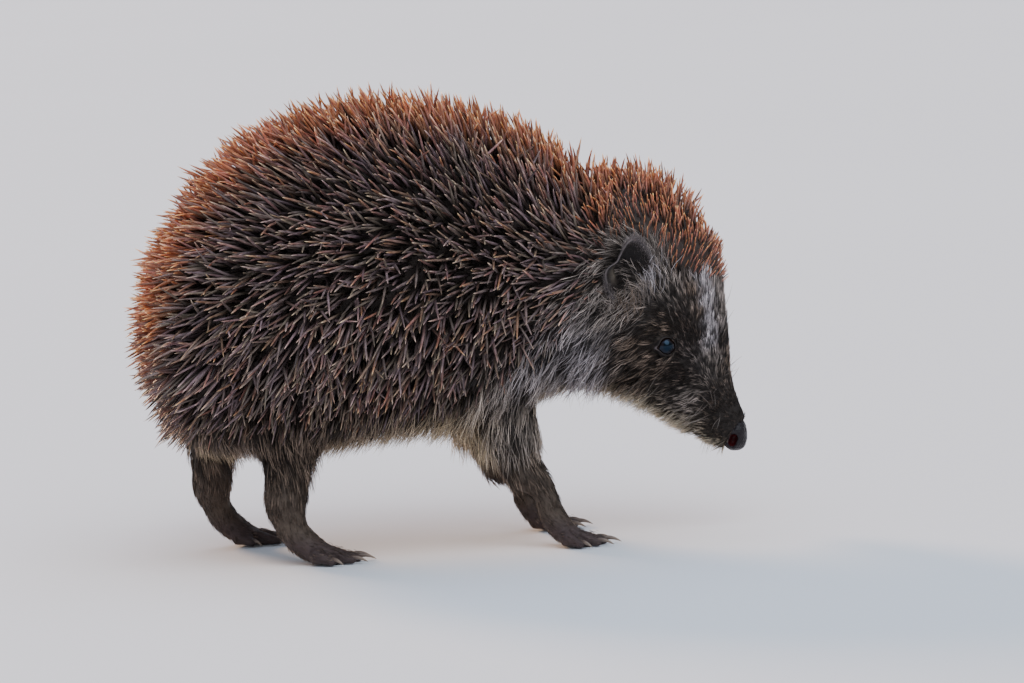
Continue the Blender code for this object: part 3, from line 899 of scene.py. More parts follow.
def spine_roots(ground, first, last, spacing):
    def density(places):
        animal = to_animal(places)
        limit = np.maximum(0.5 + SPINE_RAGGED * rng.normal(size=len(places)), 0.1)
        here = (animal[:, 0] > first) & (animal[:, 0] <= last)
        return SPINE_DENSEST * here * (spined(animal[:, 0], animal[:, 2]) > limit)

    return thinned(ground.scatter(SPINE_DENSEST, density, BODY_SKIN), spacing)


def grow_spines(ground):
    parts = [spine_roots(ground, *spacing) for spacing in SPINE_SPACING]
    roots = {key: np.concatenate([part[key] for part in parts]) for key in parts[0]}
    place, normal = roots["place"], roots["normal"]
    animal = to_animal(place)
    on_head = smooth_step(animal[:, 0], 140.0, 170.0)
    ways = unit(to_frame(guided(SPINE_LIE, place), place))
    above = smooth_step(animal[:, 2] - profile(BORDER, animal[:, 0]), 0.0, NEAR_BORDER)
    astray = (0.32 - 0.12 * on_head - 0.14 * (1.0 - above))[:, None]
    ways += 0.22 * ripple(place, 9.0, 3) + astray * rng.normal(size=place.shape)
    flatter = smooth_step(animal[:, 0], 110.0, 150.0)
    least = 0.85 - 0.12 * flatter + rng.normal(0.0, 0.06, len(place))
    ways = raised(ways, normal, least[:, None], SPINE_STEEPEST)
    rise = (ways * normal).sum(1)
    full = SPINE_LENGTH * (1.0 - on_head * (1.0 - SPINE_HEAD_SHARE))
    room = ground.depth(place) + SPINE_PAST + SPINE_HEAD_PAST * on_head
    length = np.minimum(full, room / rise) * rng.uniform(0.82, 1.1, len(place))
    bow = 0.05 * rng.normal(size=place.shape) - 0.07 * normal
    centres = swept(place - normal * SPINE_ROOT, ways, length, SPINE_ALONG, (bow, squared))
    thin = 0.5 + 0.5 * above
    thick = SPINE_RADIUS * rng.uniform(0.85, 1.12, len(place)) * thin * (1.0 - 0.22 * on_head)
    radii = thick[:, None] * SPINE_SHAPE[None]
    # Tone differs at random from spine to spine; low on the flank, near the border, it is lowered further as
    # painted shade.
    tone = rng.normal(0.0, 1.0, len(place)) - 0.7 * (1.0 - above) * (1.0 - on_head)
    hue = rng.uniform(0.0, 1.0, len(place))
    # Painted back light: spines high on the body, where the skin faces up rather than sideways, and all
    # spines on the head, get the orange glow of light shining through them from behind, a little at random.
    level = (1.0 - smooth_step(np.abs(normal[:, 0]), 0.25, 0.85)) * smooth_step(animal[:, 2], 55.0, 85.0)
    painted_backlight = np.clip(np.maximum(level, 0.95 * on_head) + rng.normal(0.0, 0.18, len(place)), 0.0, 1.0)
    triangles = strand_triangles(SPINE_SIDES, SPINE_ALONG)
    for name, part in in_pieces("spines", triangles, np.argsort(place[:, 1])):
        piece, each = strand_mesh(name, centres[part], radii[part], SPINE_SIDES, SPINE_ALONG,
                                  roots["flat"][part])
        for held, values in (("tone", tone), ("hue", hue), ("painted_backlight", painted_backlight)):
            paint(piece.data, held, np.repeat(values[part], each))
        finish_piece(piece, "spines")


# ---------------------------------------------------------------- hair

BLACKISH = (0.018, 0.013, 0.011)
BROWN = (0.115, 0.083, 0.066)
TAUPE = (0.24, 0.175, 0.132)
GREY = (0.34, 0.285, 0.25)
PALE = (0.57, 0.52, 0.53)
RUFF = (0.41, 0.365, 0.372)
SAND = (0.55, 0.43, 0.28)
CREAM = (0.66, 0.56, 0.41)
# place (ahead, out, height), way (ahead, out, up), (length, hairs a square millimetre, curl, share of
# pale hairs), colour of the pale hairs
HAIR_LIE = (
    ((191, 0, 40), (-0.1, 0.1, 1), (2, 4.5, 0, 0.1), BROWN),
    ((190, 3, 52), (-0.1, 0.1, 1), (3.4, 4.2, 0, 0.3), TAUPE),
    ((182, 12.2, 79), (-0.05, 0.15, 1), (6.5, 3.8, 0, 0.75), PALE),
    ((183.4, 11.2, 72), (-0.05, 0.12, 1), (6, 4, 0, 0.7), PALE),
    ((184.3, 10.6, 66), (-0.05, 0.12, 1), (5.2, 4, 0, 0.7), PALE),
    ((185, 9.8, 60), (-0.08, 0.1, 1), (4.4, 4.2, 0, 0.6), PALE),
    ((185.6, 9, 54), (-0.1, 0.1, 1), (3.8, 4.2, 0, 0.45), GREY),
    ((188.2, 5.5, 77), (0.02, 0.05, 1), (5.5, 4, 0, 0.45), GREY),
    ((188.4, 6.2, 68), (0.02, 0.05, 1), (4.6, 4.2, 0, 0.4), GREY),
    ((188.8, 5.6, 59), (0, 0.05, 1), (4, 4.2, 0, 0.2), BROWN),
    ((190, 0, 70), (0.06, 0, 1), (4.6, 4.2, 0, 0.4), GREY),
    ((179, 13.6, 76), (-0.25, 0.25, 0.9), (5.4, 4.2, 0.02, 0.4), TAUPE),
    ((180.6, 12.7, 69), (-0.2, 0.2, 0.95), (4.4, 4.2, 0.02, 0.3), TAUPE),
    ((180, 12.2, 62), (-0.3, 0.2, 0.9), (3.6, 4.4, 0, 0.12), BROWN),
    ((176, 13.5, 67), (-0.6, 0.25, 0.8), (3.2, 4.6, 0, 0.1), BROWN),
    ((170, 15, 68), (-0.85, 0.2, 0.45), (4, 4.6, 0, 0.2), TAUPE),
    ((172, 16, 78), (-0.25, 0.3, 0.9), (7.5, 3.4, 0.05, 0.3), GREY),
    ((162, 19, 64), (-0.85, 0.3, -0.35), (7, 3, 0.12, 0.25), TAUPE),
    ((167, 16, 55), (-0.95, 0.25, -0.15), (4.2, 4.2, 0.03, 0.16), TAUPE),
    ((175, 12, 51), (-0.95, 0.2, 0), (3, 5, 0, 0.12), BROWN),
    ((177, 9, 43), (-0.9, 0.2, -0.15), (4, 4.4, 0, 0.35), GREY),
    ((184, 7, 41), (-0.7, 0.2, 0.6), (2.2, 5.5, 0, 0.15), BROWN),
    ((188, 5, 33), (-0.9, 0.2, 0.2), (1.4, 5.5, 0, 0.1), BROWN),
    ((184, 0, 26), (-0.95, 0.05, -0.15), (3.6, 4, 0, 0.7), CREAM),
    ((172, 3, 34), (-0.8, 0.1, -0.5), (6, 3.4, 0.02, 0.8), CREAM),
    ((160, 4, 42), (-0.65, 0.1, -0.7), (8, 2.8, 0.05, 0.8), CREAM),
    ((152, 9, 45), (-0.4, 0.1, -0.9), (11, 2.5, 0.08, 0.6), SAND),
    ((160, 14, 50), (-0.75, 0.25, -0.55), (9, 2.4, 0.15, 0.3), TAUPE),
    ((148, 18, 54), (-0.4, 0.15, -0.9), (14.5, 2, 0.14, 0.6), RUFF),
    ((148, 25, 66), (-0.5, 0.35, -0.75), (13, 1.8, 0.16, 0.6), RUFF),
    ((155, 24, 78), (-0.7, 0.45, -0.5), (10, 2.1, 0.18, 0.45), GREY),
    ((160, 22, 70), (-0.7, 0.4, -0.5), (8.5, 2.4, 0.2, 0.35), GREY),
    ((168, 19, 85), (-0.35, 0.45, 0.8), (8, 2.6, 0.08, 0.35), GREY),
    ((178, 14, 84), (-0.1, 0.3, 0.95), (8, 2.8, 0.03, 0.35), TAUPE),
    ((140, 0, 50), (-0.5, 0, -0.85), (13, 1.8, 0.1, 0.6), SAND),
    ((134, 27, 56), (-0.4, 0.2, -0.9), (15, 1.7, 0.1, 0.45), GREY),
    ((128, 0, 46), (-0.4, 0, -0.9), (14, 1.6, 0.08, 0.6), SAND),
    ((120, 33, 48), (-0.3, 0.2, -0.9), (15, 1.6, 0.08, 0.55), GREY),
    ((118, 19, 40), (0, 0.15, -0.95), (13, 1.7, 0.08, 0.5), GREY),
    ((110, 14, 42), (-0.25, 0.1, -0.95), (15, 1.6, 0.06, 0.65), SAND),
    ((104, 27, 41), (-0.25, 0.15, -0.95), (15, 1.6, 0.06, 0.55), SAND),
    ((30, 41, 44), (-0.4, 0.3, -0.85), (13, 1.7, 0.04, 0.3), TAUPE),
    ((60, 47, 46), (-0.45, 0.3, -0.8), (14, 1.7, 0.05, 0.35), TAUPE),
    ((100, 43, 49), (-0.45, 0.25, -0.85), (14, 1.7, 0.06, 0.35), TAUPE),
    ((119, 38, 54), (-0.4, 0.25, -0.85), (15, 1.8, 0.12, 0.6), GREY),
    ((133, 31, 61), (-0.5, 0.3, -0.8), (14, 1.8, 0.14, 0.55), RUFF),
    ((95, 38, 42), (-0.35, 0.15, -0.9), (14, 1.5, 0.04, 0.35), TAUPE),
    ((90, 0, 42), (-0.4, 0, -0.9), (13, 1.3, 0.06, 0.6), SAND),
    ((60, 40, 38), (-0.3, 0.2, -0.9), (14, 1.5, 0.04, 0.35), TAUPE),
    ((60, 0, 38), (-0.4, 0, -0.9), (13, 1.3, 0.06, 0.6), SAND),
    ((34, 36, 38), (0.2, 0.2, -0.9), (12, 1.6, 0.04, 0.3), TAUPE),
    ((22, 0, 40), (0.2, 0, -0.9), (10, 1.5, 0.04, 0.4), SAND),
    ((8, 18, 46), (-0.3, 0.2, -0.9), (11, 1.6, 0.04, 0.3), TAUPE),
    ((24, 20, 34), (0.3, 0.2, -0.9), (9, 1.8, 0.02, 0.3), TAUPE),
    ((50, 21, 34), (0.25, 0.2, -0.9), (9, 1.8, 0.02, 0.3), TAUPE),
    *(row for thigh, shank, toes in ((47, 48, 58), (22, 23, 33)) for row in (
        ((thigh, 21, 24), (-0.05, 0.2, -0.95), (4, 1.5, 0, 0.12), TAUPE),
        ((shank, 24, 13), (0.1, 0.15, -0.95), (2.6, 1.3, 0, 0.08), TAUPE),
        ((toes, 25, 5), (0.95, 0, -0.2), (1.8, 1.4, 0, 0.08), TAUPE))),
    *(row for elbow, wrist, toes in ((122, 128, 138), (113, 120, 130)) for row in (
        ((elbow, 18, 28), (0.3, 0.15, -0.95), (6, 1.5, 0.02, 0.3), TAUPE),
        ((wrist, 19, 15), (0.35, 0.1, -0.9), (3, 1.3, 0, 0.08), TAUPE),
        ((toes, 20, 5), (0.95, 0, -0.2), (1.8, 1.4, 0, 0.08), TAUPE))),
)
HAIR_REACH = ((0, 11), (120, 11), (138, 20), (148, 20), (158, 4), (194, 3))  # ahead, how far above the border
HAIR_WAY, HAIR_LENGTH, HAIR_DENSITY, HAIR_CURL, HAIR_PALE, HAIR_COLOUR = (
    slice(0, 3), 3, 4, 5, 6, slice(7, 10))  # where each value of a guide is in its row
HAIR_DENSEST = 9.0
HAIR_SIDES = 3
HAIR_RADIUS = 0.08
HAIR_ROOT = 0.12  # how deep the root is in the skin
HAIRS_IN_A_TUFT = 4
SHORT_ALONG = np.array([0.0, 0.5])
SHORT_SHAPE = np.array([0.9, 0.95])
LONG_ALONG = np.array([0.0, 0.22, 0.45, 0.68, 0.86])
LONG_SHAPE = np.array([0.9, 1.0, 0.95, 0.75, 0.45])


def grow_hair(ground, name, chosen, pale):
    """Hair in tufts where chosen, a function of (ahead, out, height), says so: the pale hairs, which are long
    and wavy, or the dark ones under them."""
    def density(places):
        animal = to_animal(places)
        values = guided(HAIR_LIE, places)
        above = animal[:, 2] - profile(BORDER, animal[:, 0])
        share = 1.0 - smooth_step(above, -3.0, profile(HAIR_REACH, animal[:, 0]))
        kept = values[:, HAIR_PALE] if pale else 1.0 - values[:, HAIR_PALE]
        kept = kept * (1.7 - 0.7 * smooth_step(values[:, HAIR_LENGTH], 3.0, 7.0))
        return values[:, HAIR_DENSITY] * kept / HAIRS_IN_A_TUFT * share * chosen(*animal.T)

    along, shape = (LONG_ALONG, LONG_SHAPE) if pale else (SHORT_ALONG, SHORT_SHAPE)
    tufts = ground.scatter(HAIR_DENSEST / HAIRS_IN_A_TUFT, density, (BODY_SKIN, LIDS))
    values = guided(HAIR_LIE, tufts["place"])
    count = len(values)
    ways = unit(to_frame(values[:, HAIR_WAY], tufts["place"]))
    ways += 0.16 * ripple(tufts["place"], 7.0, 5) + rng.normal(0.0, 0.1, (count, 3))
    tone = np.exp(rng.normal(0.0, 0.32, count))
    wave = unit(rng.normal(size=(count, 3)))
    # From here on there is a row for each hair; the hairs of one tuft follow each other.
    pick = np.repeat(np.arange(count), HAIRS_IN_A_TUFT)
    place, flat = tufts["place"][pick], tufts["flat"][pick]
    depth = ground.depth(tufts["place"])[pick]
    values, ways, normal = values[pick], ways[pick], tufts["normal"][pick]
    full = values[:, HAIR_LENGTH]
    short = 1.0 - smooth_step(full[:, None], 3.0, 8.0)
    apart = (0.5 + 0.2 * short) / np.sqrt(values[:, HAIR_DENSITY, None]) * math.sqrt(HAIRS_IN_A_TUFT)
    offset = rng.normal(0.0, 0.7, (len(pick), 3)) * apart
    offset -= (offset * normal).sum(1, keepdims=True) * normal
    on_leg = (1.0 - smooth_step(place[:, 2:], 20.0, 31.0)) * (HIGH[1] - place[:, 1:2] < FACE_START)
    length = full * rng.uniform(0.72, 1.14, len(pick)) * (1.0 if pale else 0.8)
    # A hair rises steeply enough to fill the coat's depth, and lies flatter on the legs.
    filling = np.minimum(np.maximum(depth, 0.0) / length, 0.82)[:, None]
    least = np.maximum((0.32 + 0.06 * short) * (1.0 - 0.45 * on_leg), filling)
    most = np.maximum(0.75 - 0.4 * on_leg, least + 0.05)
    ways = raised(ways + rng.normal(0.0, 0.1 if pale else 0.07, offset.shape), normal, least, most)
    # The hairs of a tuft start apart, gather on the way to the tip, droop and wave.
    start = place + offset - normal * HAIR_ROOT
    gather = -0.6 * (1.0 - 0.8 * short) * offset / length[:, None]
    fall = -0.14 * normal + np.array([0.0, 0.0, -0.08])
    curl = 0.5 * wave[pick] + unit(rng.normal(size=offset.shape))
    curl *= (values[:, HAIR_CURL, None] + 0.03) * rng.uniform(0.3, 1.0, (len(pick), 1))
    turns = 1.2 + 0.8 * rng.random()
    centres = swept(start, ways, length, along, (gather, lambda t: t), (fall, squared),
                    (curl, lambda t: t * np.sin(math.pi * turns * t)))
    centres[:, :, 2] = np.maximum(centres[:, :, 2], 2.0 * HAIR_RADIUS)  # none goes into the floor
    thick = HAIR_RADIUS * (0.62 + 0.05 * np.minimum(full, 14.0)) * rng.uniform(0.75, 1.2, len(pick))
    radii = (thick * (1.0 if pale else 0.95))[:, None] * shape[None]
    colour = values[:, HAIR_COLOUR]
    tip = colour if pale else (0.09 + 0.24 * on_leg) * colour + 0.7 * np.array(BLACKISH)
    tip = tip * (tone[pick] * np.exp(rng.normal(0.0, 0.28, len(pick))))[:, None]
    darker = 0.15 + 0.85 * smooth_step(shares(along, HAIR_SIDES), 0.05, 0.8)
    order = np.argsort(place[:, 1], kind="stable")
    for title, part in in_pieces(name, strand_triangles(HAIR_SIDES, along), order):
        hair_piece(title, centres[part], radii[part], along, flat[part], tip[part], darker)


EAR_HAIRS = 5.0  # a square millimetre
EAR_FUZZ = (0.28, 0.235, 0.225)
EAR_TUFTS = (  # place (ahead, out, height), way (ahead, out, up), length, how many, spread, colour
    ((163.5, 22, 76), (-0.1, 0.45, 0.85), 8.0, 80, 2.0, GREY),
    ((166.8, 21, 81), (-0.1, 0.5, 0.85), 9.0, 60, 2.2, PALE),
    ((168, 19, 89), (-0.05, 0.45, 0.95), 9.0, 60, 2.6, GREY),
    ((158, 22, 73), (0.0, 0.6, 0.75), 8.0, 70, 2.2, TAUPE),
    ((152, 23, 75), (-0.4, 0.6, 0.45), 8.0, 50, 2.2, GREY),
)


def grow_ear_hair(ground):
    """Short hair on the ears, and longer pale hair from the skin in front of them, over their openings."""
    roots = ground.scatter(EAR_HAIRS, lambda places: EAR_HAIRS, EARS_SKIN)
    place = roots["place"]
    middle = np.array([box_centre("ear_right"), box_centre("ear_left")])[(place[:, 0] > 0).astype(int)]
    away = place - middle
    edge = smooth_step(np.linalg.norm(away, axis=1), 5.0, 9.0)[:, None]
    ways = unit(away) * edge + np.array([0.0, 0.15, 0.6]) + rng.normal(0.0, 0.25, place.shape)
    length = (0.9 + 1.3 * edge[:, 0]) * rng.uniform(0.6, 1.2, len(place))
    # Hairs deep in the ear's cup are near-black, painted shade like the cup; those near its edge are pale
    # fuzz.
    colour = np.array(BLACKISH) * (1.0 - edge) + np.array(EAR_FUZZ) * edge
    ear_strands("fur_ears_short", place, roots["normal"], ways, length, colour, roots["flat"],
                SHORT_ALONG, SHORT_SHAPE)
    parts = []
    skin = np.nonzero(ground.kind == BODY_SKIN)[0]
    middles = ground.points[skin].mean(1)
    for (ahead, out, height), way, size, count, spread, tint in EAR_TUFTS:
        for _, sign in SIDES:
            near = at(ahead, out * sign, height) + rng.normal(0.0, spread, (count, 3))
            found = skin[[np.argmin(np.linalg.norm(middles - point, axis=1)) for point in near]]
            turned = sideways(way, sign) + rng.normal(0.0, 0.22, (count, 3))
            tints = np.array(tint) * np.exp(rng.normal(0.0, 0.3, (count, 1)))
            parts.append((ground.points[found].mean(1), unit(ground.normals[found].mean(1)), turned,
                          size * rng.uniform(0.6, 1.15, count), tints, ground.flat[found].mean(1)))
    ear_strands("fur_ears_long", *(np.concatenate(values) for values in zip(*parts)), LONG_ALONG, LONG_SHAPE)


def ear_strands(name, place, normal, ways, length, colour, flat, along, shape):
    ways = raised(ways, normal, 0.25, 0.9)
    curl = unit(rng.normal(size=ways.shape)) * rng.uniform(0.0, 0.3, (len(ways), 1))
    centres = swept(place - normal * 0.2, ways, length, along, (curl, lambda t: t * np.sin(4.5 * t)))
    thick = HAIR_RADIUS * np.minimum(0.5 + 0.08 * length, 1.0) * rng.uniform(0.8, 1.2, len(ways))
    radii = thick[:, None] * shape[None]
    colour = colour * np.exp(rng.normal(0.0, 0.2, (len(ways), 1)))
    hair_piece(name, centres, radii, along, flat, colour, 0.4 + 0.6 * shares(along, HAIR_SIDES))


# ---------------------------------------------------------------- eyes, nose, claws, whiskers

CORNEA = (0.14, 34.0)  # how far it bulges, degrees wide
EYE_TURNS = 64
EYE_TILTS = 45
POLE = 0.01  # degrees


def build_eye(side, sign):
    eye = EyePlace(side, sign)
    tilt = np.radians(np.concatenate([[POLE], np.linspace(3, 177, EYE_TILTS), [180.0 - POLE]]))
    tilts, turns = np.meshgrid(tilt, all_round(EYE_TURNS), indexing="ij")
    reach = eye.radius - 0.02 + CORNEA[0] * bell(np.degrees(tilts), 0.0, CORNEA[1])
    points = eye.place(turns, reach * np.sin(tilts), reach * np.cos(tilts)).reshape(-1, 3)
    faces = grid_faces(len(tilt), EYE_TURNS)
    piece = make_mesh(f"eyeball_{side}", points, [faces if eye.mirrored else faces[:, ::-1]])
    paint(piece.data, "tilt", np.degrees(tilts).ravel() / 90.0)
    finish_piece(piece, "eye", f"eye_{side}")


# Rods that shape the right half of the nose pad: each end from its middle as (out, back, up), and the radii
# there. The same rods turned over make the left half.
NOSE_WING = ((2.8, -1.4, 0.9), (3.1, 2.4, 0.4), 1.5, 1.3)
NOSE_CHEEK = ((2.9, 0.6, -3.0), (2.9, 2.0, -2.6), 1.6, 1.5)
NOSTRIL_TOP = ((2.2, 0.3, -0.8), (6.0, 0.7, -0.9), 0.8, 1.5)
NOSTRIL_FOOT = ((2.2, 0.9, -2.2), (6.0, 1.5, -2.7), 0.9, 1.4)
NOSTRIL_SLIT = ((4.4, 1.2, -0.5), (4.6, 3.4, 0.2), 0.5, 0.3)
NOSE_FOLD = ((2.4, -3.4, 1.2), (4.2, 2.6, 2.4), 0.2, 0.2)
NOSE_STEP = 0.16
NOSE_GRAIN = ((7.3, 0.0), (8.1, 2.1), (6.4, 4.2))  # radians a millimetre along each axis, and their start
GRAIN_DEPTH = 0.035


def dented(body, tool, depth, reach):
    """A body pressed in where a tool touches it, by no more than a depth."""
    return body + depth * (1.0 - smooth_step(tool, 0.0, reach))


def build_nose():
    """The nose pad: a rounded block with nostrils that open to the sides, folds over them and a groove in
    front."""
    def nose_rod(shape, sign):
        start, end = (centre + [sign * out, back, up] for out, back, up in shape[:2])
        return rod(axes, start, end, *shape[2:])

    centre = box_centre("nose")
    size = box_size("nose") / 2.0
    lattice = Lattice(centre - size - 2.0, centre + size + 2.0, NOSE_STEP)
    axes = lattice.axes()
    reach = [np.abs((axes[k] - centre[k]) / (size[k] + 0.05)) for k in range(3)]
    body = ((reach[0] ** 2.2 + reach[1] ** 2.5 + reach[2] ** 2.4) ** 0.42 - 1.0) * size.min()
    body = np.broadcast_to(body, lattice.shape).astype(np.float32)
    nostrils = []
    for _, sign in SIDES:
        body = join(join(body, nose_rod(NOSE_WING, sign), 1.0), nose_rod(NOSE_CHEEK, sign), 1.2)
        opening = join(nose_rod(NOSTRIL_TOP, sign), nose_rod(NOSTRIL_FOOT, sign), 1.4)
        nostrils.append(join(opening, nose_rod(NOSTRIL_SLIT, sign), 0.6))
    nostril = np.minimum(*nostrils)
    field = cut(body, nostril, 0.6)
    for _, sign in SIDES:
        field = dented(field, nose_rod(NOSE_FOLD, sign), 0.3, 0.8)
    groove = rod(axes, centre + [0, -size[1], 2.0], centre + [0, 0.6 - size[1], -size[2]], 0.15, 0.25)
    field = dented(field, groove, 0.55, 0.75)
    for k, (wave, start) in enumerate(NOSE_GRAIN):
        field = field + GRAIN_DEPTH * np.sin(axes[k] * wave + axes[(k + 1) % 3] * 0.7 * wave + start)
    points, triangles, quads = lattice.surface(field, 0.0, 0.01)
    piece = make_mesh("nose_pad", points, [triangles, quads])
    inside = 1.0 - smooth_step(lattice.read(nostril, points), -0.05, 0.25)
    paint(piece.data, "inside", inside * smooth_step(-lattice.read(body, points), 0.1, 1.1))
    finish_piece(piece, "nose", "nose")


CLAW_RINGS = 9
CLAW_SIDES = 12


def build_claws(paw, side):
    """The claws of one foot, each from the root to the tip of its own CAD node."""
    names = [f"claw_{paw}_{side}_{n}" for n in CLAWS]
    points, faces, along = [], [], []
    share = np.linspace(0.0, 1.0, CLAW_RINGS)
    turn = all_round(CLAW_SIDES)
    for name in names:
        root, tip = claw_line(name)
        way = tip - root
        length = np.linalg.norm(way)
        way /= length
        width = unit(np.cross(way, [0.0, 0.0, 1.0]))
        above = np.cross(width, way)
        bow = (0.13 * length * np.sin(math.pi * share))[:, None]
        middle = root + share[:, None] * (tip - root) + above * bow
        half = 0.8 * (1.0 - share ** 1.6) ** 0.8 + 0.06
        ring = middle[:, None] + half[:, None, None] * (
            width * (0.72 * np.cos(turn))[None, :, None]
            + above * (np.sin(turn) * np.where(np.sin(turn) < 0, 0.85, 1.1))[None, :, None])
        start = sum(len(p) for p in points)
        points.append(ring.reshape(-1, 3))
        faces.append(grid_faces(CLAW_RINGS, CLAW_SIDES) + start)
        along.append(np.repeat(share, CLAW_SIDES))
    points = np.concatenate(points)
    first = np.arange(CLAW_SIDES)
    each = CLAW_RINGS * CLAW_SIDES
    caps = [first[::-1] + n * each for n in range(len(names))]
    caps += [first + (n + 1) * each - CLAW_SIDES for n in range(len(names))]
    piece = make_mesh(f"claws_{paw}_{side}", points, [np.concatenate(faces), np.array(caps)])
    paint(piece.data, "along", np.concatenate(along))
    finish_piece(piece, "claw", *names)


WHISKERS = (  # place (ahead, out, height), way (ahead, out, up), length, how many, spread
    ((181, 9, 37), (-0.35, 0.9, -0.1), 17.0, 10, 2.5), ((184, 7, 42), (-0.1, 0.9, 0.3), 14.0, 6, 2.0),
    ((188, 4, 50), (0.6, 0.3, 0.6), 9.0, 4, 3.0), ((188, 4, 64), (0.55, 0.2, 0.75), 9.0, 4, 4.0),
    ((180, 4, 28), (-0.2, 0.4, -0.9), 6.0, 5, 2.5), ((172, 15, 69), (-0.2, 0.7, 0.7), 9.0, 3, 1.2),
    ((164, 16, 48), (-0.5, 0.8, -0.4), 12.0, 4, 2.0),
)
WHISKER_ALONG = np.array([0.0, 0.15, 0.35, 0.55, 0.75, 0.9])
WHISKER_SHAPE = np.array([1.0, 0.95, 0.8, 0.62, 0.42, 0.25])
WHISKER_SIDES = 5
WHISKER_RADIUS = 0.085


def grow_whiskers(ground):
    middle = ground.points[ground.kind == BODY_SKIN].mean(1)
    starts, ways, lengths, normals, flats = [], [], [], [], []
    for _, sign in SIDES:
        for (ahead, out, height), way, length, count, spread in WHISKERS:
            for _ in range(count):
                near = at(ahead, out * sign, height) + rng.normal(0.0, spread, 3)
                found = np.argmin(np.linalg.norm(middle - near, axis=1))
                starts.append(middle[found])
                normals.append(ground.normals[found].mean(0))
                flats.append(ground.flat[found].mean(0))
                ways.append(unit(sideways(way, sign)) + rng.normal(0.0, 0.16, 3))
                lengths.append(length * rng.uniform(0.6, 1.15))
    normal = unit(np.array(normals))
    ways = raised(np.array(ways), normal, 0.4, 0.95)
    sag = rng.normal(0.0, 0.06, ways.shape) + np.array([0.0, 0.12, -0.1])
    centres = swept(np.array(starts) - normal * 0.3, ways, np.array(lengths), WHISKER_ALONG, (sag, squared))
    radii = np.full((len(lengths), 1), WHISKER_RADIUS) * WHISKER_SHAPE[None]
    piece, _ = strand_mesh("whiskers", centres, radii, WHISKER_SIDES, WHISKER_ALONG, np.array(flats))
    share = np.tile(shares(WHISKER_ALONG, WHISKER_SIDES), len(lengths))[:, None]
    paint(piece.data, "shade", np.array(BLACKISH) * (1.0 - share) + np.array(GREY) * share)
    finish_piece(piece, "fur")


# ---------------------------------------------------------------- materials

class Nodes:
    """The nodes of a material or of the world. Its methods add some and give back their output."""

    def __init__(self, tree):
        self.nodes = tree.nodes
        self.links = tree.links

    def plug(self, socket, value):
        """Sets an input to a number or a colour, or links an output to it."""
        if isinstance(value, tuple):
            socket.default_value = (*value, 1.0)
        elif isinstance(value, float):
            socket.default_value = value
        else:
            self.links.new(value, socket)

    def add(self, kind, inputs, output=0, **settings):
        node = self.nodes.new(f"ShaderNode{kind}")
        for name, value in settings.items():
            setattr(node, name, value)
        for place, value in inputs.items():
            self.plug(node.inputs[place], value)
        return node.outputs[output]

    def set(self, node, **inputs):
        """Fills a node's inputs, whose names are given with _ for a space."""
        for name, value in inputs.items():
            self.plug(self.nodes[node].inputs[name.replace("_", " ")], value)

    def painted(self, name, output="Fac"):
        """What paint keeps under a name."""
        return self.add("Attribute", {}, output, attribute_name=name)

    def ramp(self, source, stops):
        """A colour for each value, between stops of (value, colour)."""
        colour = self.add("ValToRGB", {0: source})
        elements = colour.node.color_ramp.elements
        while len(elements) < len(stops):
            elements.new(0.5)
        for element, (place, shade) in zip(elements, stops):
            element.position = place
            element.color = (*shade, 1.0)
        return colour

    def scaled(self, source, gain, offset):
        return self.add("Math", {0: source, 1: gain, 2: offset}, operation="MULTIPLY_ADD")

    def dimmed(self, colour, share):
        return self.add("VectorMath", {0: colour, "Scale": share}, operation="SCALE")

    def mixed(self, share, a, b, blend="MIX"):
        return self.add("Mix", {0: share, 6: a, 7: b}, 2, data_type="RGBA", blend_type=blend)

    def noise(self, size, detail=3.0):
        """Noise whose features are about so many millimetres wide."""
        place = self.add("TexCoord", {}, "Object")
        return self.add("TexNoise", {"Scale": 1.0 / (size * MM), "Detail": detail, "Vector": place}, "Fac")

    def bump(self, height, strength, distance):
        return self.add("Bump", {"Strength": strength, "Distance": distance * MM, "Height": height})


SHADER = "Principled BSDF"
# Colours along a spine from root (0) to tip (1). Up to about a third of the way they are painted shade, the
# dark that the crowded spines cast on each other's lower parts; beyond it come a pale band, a dark band and a
# pale tip.
SPINE_COOL = (
    (0.0, (0.046, 0.036, 0.033)), (0.34, (0.058, 0.045, 0.041)), (0.52, (0.13, 0.101, 0.094)),
    (0.72, (0.21, 0.163, 0.152)), (0.83, (0.12, 0.088, 0.080)), (0.93, (0.24, 0.175, 0.145)),
    (1.0, (0.46, 0.34, 0.26)),
)
# The same bands with painted back light: the orange glow of light shining through the spines from behind,
# brightest towards the tip, with the same painted shade at the root.
SPINE_PAINTED_BACKLIGHT = (
    (0.0, (0.024, 0.014, 0.011)), (0.34, (0.065, 0.036, 0.026)), (0.52, (0.24, 0.10, 0.062)),
    (0.72, (0.46, 0.18, 0.10)), (0.83, (0.36, 0.11, 0.05)), (0.93, (0.72, 0.29, 0.105)),
    (1.0, (1.0, 0.66, 0.32)),
)
EYE_BANDS = (
    (0.0, (0.001, 0.001, 0.001)), (0.26, (0.001, 0.001, 0.001)), (0.32, (0.010, 0.005, 0.003)),
    (0.6, (0.006, 0.003, 0.002)), (0.75, (0.05, 0.04, 0.036)),
)
CLAW_HORN = ((0.0, (0.05, 0.032, 0.026)), (0.4, (0.09, 0.06, 0.046)), (1.0, (0.24, 0.18, 0.135)))


